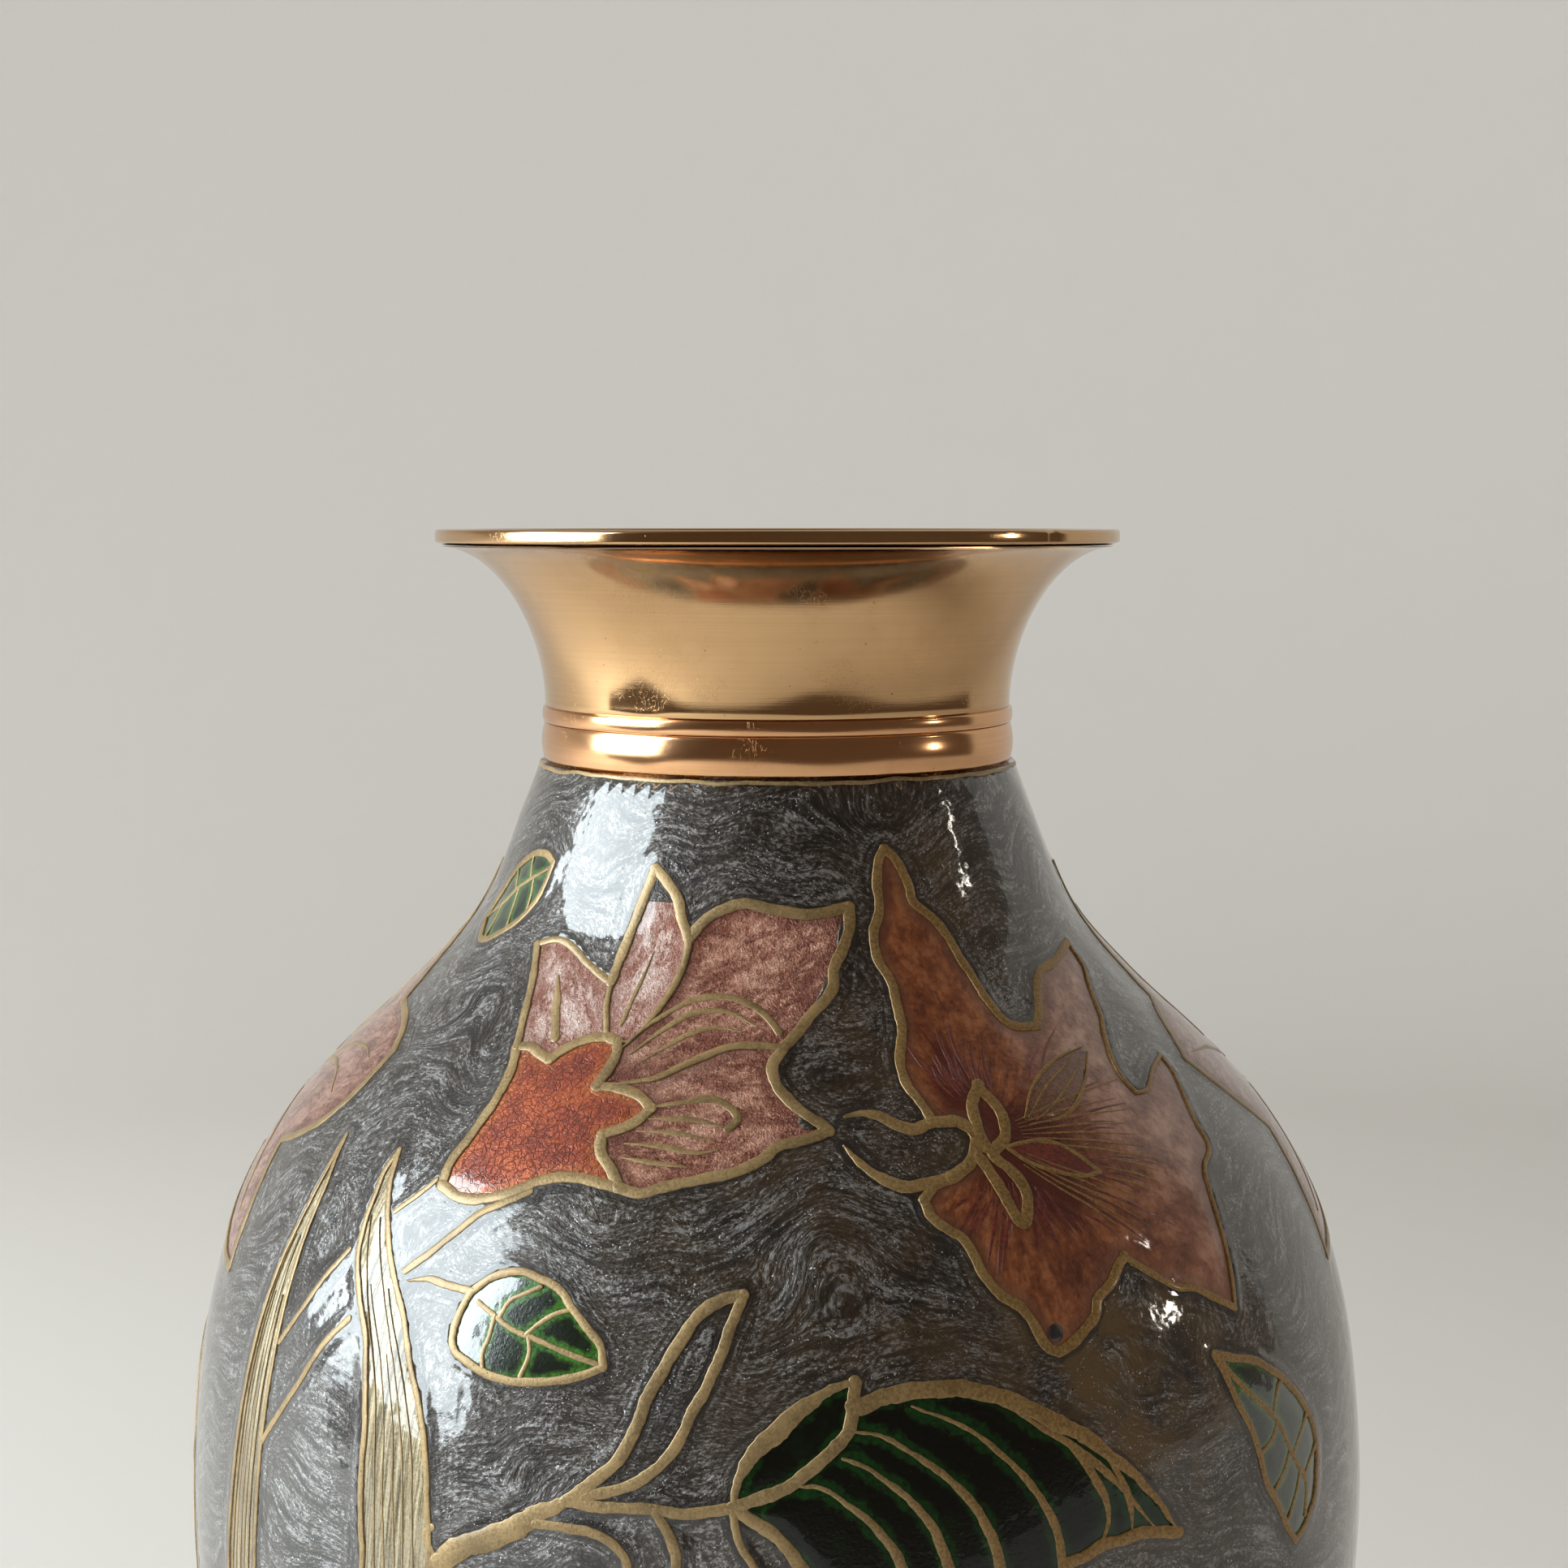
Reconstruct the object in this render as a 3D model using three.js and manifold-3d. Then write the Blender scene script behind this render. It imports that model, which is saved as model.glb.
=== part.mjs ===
// An enamelled brass vase: a spun brass body in two shells, a flared neck, a foot, and
// flowers and leaves of raised brass wire whose cells are filled with enamel.
// Millimetres, +Z up, the axis of revolution on Z and the foot standing on z = 0.
// Angles round the vase are azimuths in degrees: 0 faces -Y and they grow towards +X.

import * as THREE from 'three';
import { mergeVertices } from 'three/addons/utils/BufferGeometryUtils.js';
import Module from 'manifold-3d';

const wasm = await Module();
wasm.setup();

// ---- Driving dimensions ----

const VASE_HEIGHT = 240;
const SEGMENTS = 30;
const FACES = 2;
const FACE_ANGLE = 360 / FACES;
const FIT_GAP = 0.2;

// Outer surface of the enamelled body, from the collar down to the foot: [radius, height].
const BODY_POINTS = [
  [28.3, 212.6], [30.3, 207.5], [35.1, 196], [42.4, 187.4], [51.4, 179], [58.7, 171],
  [64.3, 161.5], [68, 149], [69.8, 135], [69.9, 120], [68.2, 104], [64, 88],
  [57.6, 72], [50, 57], [42.8, 43.5], [37.4, 28.3],
];
const BODY_STEPS = 8;
const ENAMEL_DEPTH = 1.1;
const WIRE_PROUD = 0.15;
const WIRE_WIDTH = 1.2;
const CELL_GAP = 0.15;
const SHELL_WALL = 2;
const SHELL_JOINT = 127;
const LAP_LENGTH = 5;

const NECK_BORE = 24.6;
const SPIGOT_RADIUS = 26;
const SPIGOT_BOTTOM = 208;
const NECK_WAIST = 27.7;
const NECK_WALL = 1.5;
const RIM_THICKENING = 0.9;
const FLARE_BOTTOM = 219.4;
const FLARE_TOP = 238;
const FLARE_RADIUS = 40;
const FLARE_EXPONENT = 1.85;
const FLARE_STEPS = 6;
const LIP_RADIUS = 40.7;
const LIP_INNER = 37.2;
const LIP_BEVEL = 0.4;

const COLLAR_TOP = 217.2;
const COLLAR_BULGE = 0.25;
const BEAD_TOP = 219.1;
const BEAD_RADIUS = 28.2;
const BEAD_CROWN = 0.5;

const FOOT_TOP = 27.9;
const FOOT_COLLAR_HEIGHT = 3;
const FOOT_COLLAR_TAPER = 0.6;
const FOOT_WAIST = 33.6;
const FOOT_WAIST_HEIGHT = 19;
const FOOT_INSTEP = 35.6;
const FOOT_INSTEP_HEIGHT = 9.5;
const FOOT_BAND = 3;
const FOOT_RADIUS = 43;
const FOOT_RING_WIDTH = 4;
const FOOT_WALL = 3.5;
const BASE_DISC_RADIUS = 32.8;
const BASE_DISC_THICKNESS = 2;

const WELD_TOLERANCE = 1e-4;
const MITRE_LIMIT = 0.5;

// ---- Materials ----

const polishedBrass = { color: 0xc9a878, roughness: 0.25, metalness: 1 };
const dullBrass = { color: 0x9a8154, roughness: 0.5, metalness: 0.9 };
const rawBrass = { color: 0xa08050, roughness: 0.6, metalness: 0.9 };
const slateEnamel = { color: 0x474d57, roughness: 0.25, metalness: 0.1 };
const pinkEnamel = { color: 0xb08c84, roughness: 0.25, metalness: 0.1 };
const roseEnamel = { color: 0xa66a52, roughness: 0.25, metalness: 0.1 };
const orangeEnamel = { color: 0xb0401c, roughness: 0.25, metalness: 0.1 };
const greenEnamel = { color: 0x23492a, roughness: 0.25, metalness: 0.1 };
const greyEnamel = { color: 0x596860, roughness: 0.25, metalness: 0.1 };
const strawEnamel = { color: 0xb39c6a, roughness: 0.3, metalness: 0.1 };

// ---- Solids ----

/** A geometry with shared corners merged and its flat, zero-area triangles dropped. */
function weld(geometry) {
  const bare = geometry.clone();
  bare.deleteAttribute('normal');
  bare.deleteAttribute('uv');
  const merged = mergeVertices(bare, WELD_TOLERANCE);
  const index = merged.getIndex().array;
  const kept = [];
  for (let i = 0; i < index.length; i += 3) {
    const [a, b, c] = [index[i], index[i + 1], index[i + 2]];
    if (a !== b && b !== c && c !== a) kept.push(a, b, c);
  }
  merged.setIndex(kept);
  return merged;
}

/** Six times the signed volume of a welded geometry: negative when its faces point in. */
function signedVolume(geometry) {
  const position = geometry.getAttribute('position');
  const index = geometry.getIndex().array;
  const [a, b, c] = [new THREE.Vector3(), new THREE.Vector3(), new THREE.Vector3()];
  let sum = 0;
  for (let i = 0; i < index.length; i += 3) {
    a.fromBufferAttribute(position, index[i]);
    b.fromBufferAttribute(position, index[i + 1]);
    c.fromBufferAttribute(position, index[i + 2]);
    sum += a.dot(b.cross(c));
  }
  return sum;
}

function toSolid(geometry) {
  const welded = weld(geometry);
  const triVerts = Uint32Array.from(welded.getIndex().array);
  if (signedVolume(welded) < 0) triVerts.reverse();
  const vertProperties = Float32Array.from(welded.getAttribute('position').array);
  return new wasm.Manifold(new wasm.Mesh({ numProp: 3, vertProperties, triVerts }));
}

function toGeometry(solid) {
  const mesh = solid.getMesh();
  const geometry = new THREE.BufferGeometry();
  geometry.setAttribute('position', new THREE.BufferAttribute(mesh.vertProperties, 3));
  geometry.setIndex(new THREE.BufferAttribute(mesh.triVerts, 1));
  geometry.computeVertexNormals();
  return geometry;
}

function joinAll(solids) {
  return solids.reduce((joined, solid) => joined.add(solid));
}

/** A ring or shell revolved round Z from a closed profile of [radius, height] points. */
function revolve(profile) {
  const loop = [...profile, profile[0]].map(([radius, height]) => new THREE.Vector2(radius, height));
  return toSolid(new THREE.LatheGeometry(loop, SEGMENTS).rotateX(Math.PI / 2));
}

/** A solid turned about Z, in degrees. */
function turned(solid, angle) {
  return toSolid(toGeometry(solid).rotateZ(THREE.MathUtils.degToRad(angle)));
}

// ---- The body's surface ----

const bodyCurve = new THREE.SplineCurve(BODY_POINTS.map(([radius, height]) => new THREE.Vector2(radius, height)));
const bodyProfile = bodyCurve.getPoints(BODY_STEPS).map((point) => [point.x, point.y]);

/** The body's profile moved out along its own normals; a negative distance moves it in. */
function offsetProfile(distance) {
  return bodyProfile.map(([radius, height], i) => {
    const [aboveRadius, aboveHeight] = bodyProfile[Math.max(i - 1, 0)];
    const [belowRadius, belowHeight] = bodyProfile[Math.min(i + 1, bodyProfile.length - 1)];
    const along = new THREE.Vector2(belowRadius - aboveRadius, belowHeight - aboveHeight).normalize();
    return [radius - along.y * distance, height + along.x * distance];
  });
}

/** The radius at a height on a profile that runs from the top down. */
function radiusAt(profile, height) {
  const below = profile.findIndex((point) => point[1] <= height);
  if (below <= 0) return profile[below === 0 ? 0 : profile.length - 1][0];
  const [upperRadius, upperHeight] = profile[below - 1];
  const [lowerRadius, lowerHeight] = profile[below];
  const share = (upperHeight - height) / (upperHeight - lowerHeight);
  return THREE.MathUtils.lerp(upperRadius, lowerRadius, share);
}

/** The stretch of a profile between two heights, with a point cut in at each end. */
function stretch(profile, top, bottom) {
  const between = profile.filter((point) => point[1] < top && point[1] > bottom);
  return [[radiusAt(profile, top), top], ...between, [radiusAt(profile, bottom), bottom]];
}

/** A layer of the body between two depths under the surface and between two heights. */
function bodyLayer(outside, inside, top, bottom) {
  const outer = stretch(offsetProfile(-outside), top, bottom);
  const inner = stretch(offsetProfile(-inside), top, bottom);
  return revolve([...outer, ...inner.reverse()]);
}

// ---- Metal parts ----

const [bodyTopRadius, bodyTop] = BODY_POINTS[0];
const [bodyBottomRadius, bodyBottom] = BODY_POINTS[BODY_POINTS.length - 1];
const shellOutside = ENAMEL_DEPTH + FIT_GAP;
const shellInside = shellOutside + SHELL_WALL;
const lapDepth = shellOutside + SHELL_WALL / 2;

function flareRadius(share) {
  const rise = 1 - (1 - share ** FLARE_EXPONENT) ** (1 / FLARE_EXPONENT);
  return NECK_WAIST + (FLARE_RADIUS - NECK_WAIST) * rise;
}

function makeNeckTube() {
  const outer = [];
  const inner = [];
  for (let i = 0; i <= FLARE_STEPS; i += 1) {
    const share = Math.sin((i / FLARE_STEPS) * Math.PI / 2);
    const height = THREE.MathUtils.lerp(FLARE_BOTTOM, FLARE_TOP, share);
    outer.push([flareRadius(share), height]);
    inner.push([flareRadius(share) - NECK_WALL - RIM_THICKENING * share, height]);
  }
  const bore = [[NECK_BORE, FLARE_BOTTOM], [NECK_BORE, SPIGOT_BOTTOM]];
  const spigot = [[SPIGOT_RADIUS, SPIGOT_BOTTOM], [SPIGOT_RADIUS, FLARE_BOTTOM]];
  return revolve([...spigot, ...outer, ...inner.reverse().slice(0, -1), ...bore]);
}

function makeLipRing() {
  const bottom = FLARE_TOP + FIT_GAP;
  return revolve([
    [LIP_INNER, bottom], [FLARE_RADIUS, bottom], [LIP_RADIUS, bottom + LIP_BEVEL],
    [LIP_RADIUS, VASE_HEIGHT], [LIP_INNER, VASE_HEIGHT],
  ]);
}

function makeNeckBead() {
  const bore = SPIGOT_RADIUS + FIT_GAP;
  const bottom = COLLAR_TOP + FIT_GAP;
  const middle = (bottom + BEAD_TOP) / 2;
  return revolve([
    [bore, bottom], [BEAD_RADIUS - BEAD_CROWN, bottom], [BEAD_RADIUS, middle],
    [BEAD_RADIUS - BEAD_CROWN, BEAD_TOP], [bore, BEAD_TOP],
  ]);
}

function makeNeckCollar() {
  const bore = SPIGOT_RADIUS + FIT_GAP;
  const bottom = bodyTop + FIT_GAP;
  const middle = (bottom + COLLAR_TOP) / 2;
  const radius = bodyTopRadius - COLLAR_BULGE;
  return revolve([
    [bore, bottom], [radius, bottom], [radius + COLLAR_BULGE, middle],
    [radius, COLLAR_TOP], [bore, COLLAR_TOP],
  ]);
}

/** The shoulder shell: its mouth is bored for the neck's spigot, its lower edge laps outside. */
function makeUpperShell() {
  const lapTop = SHELL_JOINT + LAP_LENGTH;
  const boreRadius = SPIGOT_RADIUS + FIT_GAP;
  const boreBottom = SPIGOT_BOTTOM - FIT_GAP;
  const outer = stretch(offsetProfile(-shellOutside), bodyTop, SHELL_JOINT);
  const lap = stretch(offsetProfile(-lapDepth), lapTop, SHELL_JOINT).reverse();
  const inner = stretch(offsetProfile(-shellInside), boreBottom, lapTop).slice(1).reverse();
  return revolve([...outer, ...lap, ...inner, [boreRadius, boreBottom], [boreRadius, bodyTop]]);
}

/** The bowl shell: its upper edge is a tongue that stands inside the shoulder shell. */
function makeLowerShell() {
  const edge = SHELL_JOINT - FIT_GAP;
  const tongueTop = SHELL_JOINT + LAP_LENGTH - FIT_GAP;
  const outer = stretch(offsetProfile(-shellOutside), edge, bodyBottom);
  const tongue = stretch(offsetProfile(-lapDepth - FIT_GAP), tongueTop, edge);
  const inner = stretch(offsetProfile(-shellInside), tongueTop, bodyBottom);
  return revolve([...tongue, ...outer, ...inner.reverse()]);
}

function makeBaseDisc() {
  const bottom = FOOT_TOP + FIT_GAP;
  const top = bottom + BASE_DISC_THICKNESS;
  return revolve([[0, bottom], [BASE_DISC_RADIUS, bottom], [BASE_DISC_RADIUS, top], [0, top]]);
}

/** The foot is hollow: a collar, a waist, an instep and an upright band that ends in its ring. */
function makeFootPedestal() {
  const line = [
    [bodyBottomRadius, FOOT_TOP],
    [bodyBottomRadius - FOOT_COLLAR_TAPER, FOOT_TOP - FOOT_COLLAR_HEIGHT],
    [FOOT_WAIST, FOOT_WAIST_HEIGHT],
    [FOOT_INSTEP, FOOT_INSTEP_HEIGHT],
  ];
  const inside = line.map(([radius, height]) => [radius - FOOT_WALL, height]).reverse();
  const ringBore = FOOT_RADIUS - FOOT_RING_WIDTH;
  const ring = [[FOOT_RADIUS, FOOT_BAND], [FOOT_RADIUS, 0], [ringBore, 0], [ringBore - 1, FOOT_BAND]];
  return revolve([...line, ...ring, ...inside]);
}

// ---- Ornament ----

// Every outline is a ring of smooth strokes that meet at sharp corners. A stroke is a list of
// [azimuth, height] points, and each stroke starts where the one before it ends.

const bellCupTop = [[-38, 184.5], [-31, 184.5], [-22.5, 186]];
const bellCupRight = [
  [[-22.5, 186], [-22.5, 182]],
  [[-22.5, 182], [-15, 180.5]],
  [[-15, 180.5], [-20, 177.5]],
  [[-20, 177.5], [-16.5, 173.5]],
];
const reversedStrokes = (strokes) => strokes.map((stroke) => [...stroke].reverse()).reverse();

const OUTLINES = {
  bell_cup: [
    [[-37, 172], [-38, 184.5]],
    bellCupTop,
    ...bellCupRight,
    [[-16.5, 173.5], [-37, 172]],
  ],
  bell_petals: [
    [[-38, 184.5], [-47, 194]],
    [[-47, 194], [-37, 194], [-27.5, 191]],
    [[-27.5, 191], [-24.5, 203]],
    [[-24.5, 203], [-18, 199], [-15.5, 195.5]],
    [[-15.5, 195.5], [-5, 199.5], [13.5, 199]],
    [[13.5, 199], [8, 191], [1, 186]],
    [[1, 186], [0, 182.5], [6, 179]],
    [[6, 179], [-4, 175], [-16.5, 173.5]],
    ...reversedStrokes([bellCupTop, ...bellCupRight]),
  ],
  lily: [
    [[21, 205], [33, 193.5], [36.5, 187], [44, 188], [62, 193]],
    [[62, 193], [49.5, 179.5]],
    [[49.5, 179.5], [60.5, 181.5]],
    [[60.5, 181.5], [51.5, 169.5], [47.5, 158.5]],
    [[47.5, 158.5], [35, 165.5]],
    [[35, 165.5], [25.5, 158.5]],
    [[25.5, 158.5], [19, 168], [15, 172]],
    [[15, 172], [20.5, 176], [16.5, 183]],
    [[16.5, 183], [18, 194], [21, 205]],
  ],
  small_leaf: [
    [[-29, 163.5], [-21.5, 165], [-15, 158]],
    [[-15, 158], [-20, 156], [-27, 156.5]],
    [[-27, 156.5], [-30, 160], [-29, 163.5]],
  ],
  striped_leaf: [
    [[-3.5, 146], [-1, 151.5], [6.5, 157]],
    [[6.5, 157], [8, 155]],
    [[8, 155], [20, 154.5], [30, 147.5], [36, 138.5]],
    [[36, 138.5], [30, 139.5], [24.5, 138]],
    [[24.5, 138], [23, 125], [17, 113]],
    [[17, 113], [6, 127], [-3.5, 146]],
  ],
  celled_leaf: [
    [[43, 154.5], [52, 150.5], [58, 141], [53, 132.5]],
    [[53, 132.5], [48, 141], [43, 154.5]],
  ],
  tall_blade: [
    [[-46, 174], [-34, 155.5], [-30.5, 137], [-47, 72]],
    [[-47, 72], [-38.5, 122], [-38.5, 150], [-46, 174]],
  ],
  curling_leaf: [
    [[-17, 145], [-11, 156], [-3, 165]],
    [[-3, 165], [-7.5, 153], [-17, 145]],
  ],
  star_flower: [
    [[-77, 185], [-62, 181.5]],
    [[-62, 181.5], [-64.5, 174], [-73.5, 170]],
    [[-73.5, 170], [-70, 156.5]],
    [[-70, 156.5], [-80, 159], [-88, 166]],
    [[-88, 166], [-99, 158.5], [-107, 157]],
    [[-107, 157], [-104, 171]],
    [[-104, 171], [-113, 180]],
    [[-113, 180], [-101, 185]],
    [[-101, 185], [-92, 200]],
    [[-92, 200], [-77, 185]],
  ],
  upper_leaf: [
    [[-51.5, 202.5], [-60, 203.5], [-71, 195]],
    [[-71, 195], [-60, 194], [-51.5, 202.5]],
  ],
  side_leaf: [
    [[-88, 147], [-77, 138], [-76, 117]],
    [[-76, 117], [-87, 127], [-88, 147]],
  ],
  lower_leaf: [
    [[38, 112], [46, 98], [38, 80]],
    [[38, 80], [29, 96], [38, 112]],
  ],
  short_blade: [
    [[-56.5, 173.5], [-53, 155], [-53.5, 115], [-57, 78]],
    [[-57, 78], [-59, 125], [-56.5, 173.5]],
  ],
};

// Strips of wire that run on from a motif: the curling leaf's tail and stem, and the star
// flower's stem.
const CURLING_LEAF_STRIPS = [
  [[-29, 137], [-24, 141.5], [-17, 145]],
  [[-17, 145], [-5.5, 144.5]],
];
const STAR_FLOWER_STRIPS = [[[-88, 168], [-93.5, 140], [-95.5, 110], [-91, 76]]];

/** Surface millimetres along the body per degree of azimuth at a height. */
function millimetresPerDegree(height) {
  return THREE.MathUtils.degToRad(radiusAt(bodyProfile, height));
}

function smoothStroke(stroke) {
  if (stroke.length === 2) return stroke;
  const curve = new THREE.SplineCurve(stroke.map(([azimuth, height]) => new THREE.Vector2(azimuth, height)));
  return curve.getPoints(stroke.length - 1).map((point) => [point.x, point.y]);
}

function outlinePoints(strokes) {
  return strokes.flatMap((stroke) => smoothStroke(stroke).slice(0, -1));
}

/** The side of a line that a point is moved to: its normal, mitred between two edges. */
function mitre(before, here, after, distance) {
  const scale = millimetresPerDegree(here[1]);
  const edge = (from, to) => new THREE.Vector2((to[0] - from[0]) * scale, to[1] - from[1]).normalize();
  const arriving = edge(before, here);
  const leaving = edge(here, after);
  const normal = new THREE.Vector2(arriving.y + leaving.y, -arriving.x - leaving.x);
  const sharpness = Math.max(normal.lengthSq() / 2, MITRE_LIMIT);
  normal.multiplyScalar(distance / sharpness);
  return [here[0] + normal.x / scale, here[1] + normal.y];
}

/** A closed outline moved outwards by a distance in millimetres, or inwards if negative. */
function offsetOutline(points, distance) {
  const turn = Math.sign(THREE.ShapeUtils.area(points.map(([x, y]) => new THREE.Vector2(x, y))));
  const count = points.length;
  return points.map((point, i) => (
    mitre(points[(i + count - 1) % count], point, points[(i + 1) % count], distance * turn)
  ));
}

/** The outline of a strip of wire of one width along a stroke. */
function stripOutline(stroke, width) {
  const points = smoothStroke(stroke);
  const side = (distance) => points.map((point, i) => (
    mitre(points[Math.max(i - 1, 0)], point, points[Math.min(i + 1, points.length - 1)], distance)
  ));
  return [...side(width / 2), ...side(-width / 2).reverse()];
}

// A cutter goes right through the enamel and is as thin as can be there, so that its walls stay
// straight: these are the distances from the surface of the rings of points on its walls.
const CUTTER_DEPTHS = [-12, -2.5, 1, 12];

/** A block with the given outline that stands square through the wall of the body. */
function makeCutter(points) {
  const shape = new THREE.Shape(points.map(([azimuth, height]) => new THREE.Vector2(azimuth, height)));
  const steps = CUTTER_DEPTHS.length - 1;
  const geometry = new THREE.ExtrudeGeometry(shape, { depth: steps, steps, bevelEnabled: false });
  const position = geometry.getAttribute('position');
  for (let i = 0; i < position.count; i += 1) {
    const azimuth = THREE.MathUtils.degToRad(position.getX(i));
    const height = position.getY(i);
    const radius = radiusAt(bodyProfile, height) + CUTTER_DEPTHS[Math.round(position.getZ(i))];
    position.setXYZ(i, radius * Math.sin(azimuth), -radius * Math.cos(azimuth), height);
  }
  return toSolid(geometry);
}

const enamelLayer = bodyLayer(0, ENAMEL_DEPTH, bodyTop, bodyBottom);
const wireLayer = bodyLayer(-WIRE_PROUD, ENAMEL_DEPTH, bodyTop, bodyBottom);

/**
 * Wire round one or more cells, with any strips that run on from it: its solid, and the
 * window it needs in the ground.
 */
function makeWire(cellNames, strips = []) {
  const cells = cellNames.map((name) => outlinePoints(OUTLINES[name]));
  const grown = (distance) => cells.map((cell) => makeCutter(offsetOutline(cell, distance)));
  const wide = (width) => strips.map((strip) => makeCutter(stripOutline(strip, width)));
  const wires = joinAll([...grown(WIRE_WIDTH / 2), ...wide(WIRE_WIDTH)]);
  return {
    solid: wireLayer.intersect(wires).subtract(joinAll(grown(-WIRE_WIDTH / 2))),
    window: joinAll([...grown(WIRE_WIDTH / 2 + CELL_GAP), ...wide(WIRE_WIDTH + 2 * CELL_GAP)]),
  };
}

function makeFill(cellName) {
  const inset = -WIRE_WIDTH / 2 - CELL_GAP;
  return enamelLayer.intersect(makeCutter(offsetOutline(outlinePoints(OUTLINES[cellName]), inset)));
}

const WIRES = {
  bell_flower_wire: makeWire(['bell_cup', 'bell_petals']),
  lily_wire: makeWire(['lily']),
  small_leaf_wire: makeWire(['small_leaf']),
  striped_leaf_wire: makeWire(['striped_leaf']),
  celled_leaf_wire: makeWire(['celled_leaf']),
  tall_blade_wire: makeWire(['tall_blade']),
  short_blade_wire: makeWire(['short_blade']),
  curling_leaf_wire: makeWire(['curling_leaf'], CURLING_LEAF_STRIPS),
  star_flower_wire: makeWire(['star_flower'], STAR_FLOWER_STRIPS),
  upper_leaf_wire: makeWire(['upper_leaf']),
  side_leaf_wire: makeWire(['side_leaf']),
  lower_leaf_wire: makeWire(['lower_leaf']),
};

const FILLS = {
  bell_cup_enamel: [makeFill('bell_cup'), orangeEnamel],
  bell_petals_enamel: [makeFill('bell_petals'), pinkEnamel],
  lily_enamel: [makeFill('lily'), roseEnamel],
  small_leaf_enamel: [makeFill('small_leaf'), greenEnamel],
  striped_leaf_enamel: [makeFill('striped_leaf'), greenEnamel],
  celled_leaf_enamel: [makeFill('celled_leaf'), greyEnamel],
  tall_blade_enamel: [makeFill('tall_blade'), strawEnamel],
  short_blade_enamel: [makeFill('short_blade'), strawEnamel],
  curling_leaf_enamel: [makeFill('curling_leaf'), slateEnamel],
  star_flower_enamel: [makeFill('star_flower'), pinkEnamel],
  upper_leaf_enamel: [makeFill('upper_leaf'), greyEnamel],
  side_leaf_enamel: [makeFill('side_leaf'), greenEnamel],
  lower_leaf_enamel: [makeFill('lower_leaf'), greenEnamel],
};

function makeGround() {
  const windows = joinAll(Object.values(WIRES).map((wire) => wire.window));
  let ground = enamelLayer;
  for (let face = 0; face < FACES; face += 1) {
    ground = ground.subtract(turned(windows, face * FACE_ANGLE));
  }
  return ground;
}

// ---- Assembly ----

function makeMesh(name, solid, look) {
  const mesh = new THREE.Mesh(toGeometry(solid), new THREE.MeshStandardMaterial(look));
  mesh.name = name;
  return mesh;
}

/** One of the two faces of the vase: every motif once, turned to its place. */
function makeFace(number) {
  const face = new THREE.Group();
  for (const [name, wire] of Object.entries(WIRES)) {
    face.add(makeMesh(`${name}_${number}`, wire.solid, dullBrass));
  }
  for (const [name, [solid, look]] of Object.entries(FILLS)) {
    face.add(makeMesh(`${name}_${number}`, solid, look));
  }
  face.rotation.z = THREE.MathUtils.degToRad((number - 1) * FACE_ANGLE);
  return face;
}

const vase = new THREE.Group();
vase.add(
  makeMesh('lip_ring', makeLipRing(), polishedBrass),
  makeMesh('neck_tube', makeNeckTube(), polishedBrass),
  makeMesh('neck_bead', makeNeckBead(), polishedBrass),
  makeMesh('neck_collar', makeNeckCollar(), polishedBrass),
  makeMesh('upper_body_shell', makeUpperShell(), rawBrass),
  makeMesh('lower_body_shell', makeLowerShell(), rawBrass),
  makeMesh('base_disc', makeBaseDisc(), rawBrass),
  makeMesh('foot_pedestal', makeFootPedestal(), polishedBrass),
  makeMesh('ground_enamel', makeGround(), slateEnamel),
);
for (let number = 1; number <= FACES; number += 1) vase.add(makeFace(number));

export default vase;
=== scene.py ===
"""Enamelled brass vase: fine brass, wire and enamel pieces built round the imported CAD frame.

Lengths are worked out in millimetres and become metres where a mesh is made. A place on the
body is (azimuth, height): azimuth 0 faces -Y and grows towards +X, in degrees. The ornament
is one face of strokes and cells, made twice and turned half a circle the second time.
"""

import math

import bmesh
import bpy
import numpy as np
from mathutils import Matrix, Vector, kdtree
from mathutils.geometry import delaunay_2d_cdt


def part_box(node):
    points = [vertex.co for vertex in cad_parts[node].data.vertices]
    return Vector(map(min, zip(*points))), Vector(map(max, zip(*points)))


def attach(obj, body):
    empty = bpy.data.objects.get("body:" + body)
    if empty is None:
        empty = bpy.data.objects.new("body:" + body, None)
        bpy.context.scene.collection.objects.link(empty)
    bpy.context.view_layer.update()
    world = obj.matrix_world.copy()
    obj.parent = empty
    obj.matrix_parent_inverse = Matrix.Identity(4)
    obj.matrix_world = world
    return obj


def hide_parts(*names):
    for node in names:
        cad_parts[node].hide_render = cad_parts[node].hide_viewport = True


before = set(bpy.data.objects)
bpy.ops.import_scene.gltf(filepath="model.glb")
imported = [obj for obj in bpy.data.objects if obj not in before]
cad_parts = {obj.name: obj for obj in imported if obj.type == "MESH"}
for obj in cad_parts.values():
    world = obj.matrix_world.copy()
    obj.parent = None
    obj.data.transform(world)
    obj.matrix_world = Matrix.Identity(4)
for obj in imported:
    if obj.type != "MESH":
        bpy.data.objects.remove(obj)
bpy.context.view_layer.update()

MM = 0.001
FACES = (1, 2)
SEED = 7


def span(node):
    """Lowest height, highest height and greatest radius of a CAD node, in millimetres."""
    low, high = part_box(node)
    return low.z / MM, high.z / MM, max(high.x, -low.x) / MM


# ---- The body's surface ----

ENAMEL_BOTTOM, ENAMEL_TOP, _ = span("ground_enamel")
ENAMEL_DEPTH = 1.0
BODY_POINTS = [
    (28.3, ENAMEL_TOP), (30.3, 207.5), (35.1, 196), (42.4, 187.4), (51.4, 179), (58.7, 171),
    (64.3, 161.5), (68, 149), (69.8, 135), (69.9, 120), (68.2, 104), (64, 88),
    (57.6, 72), (50, 57), (42.8, 43.5), (37.4, ENAMEL_BOTTOM),
]


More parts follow.
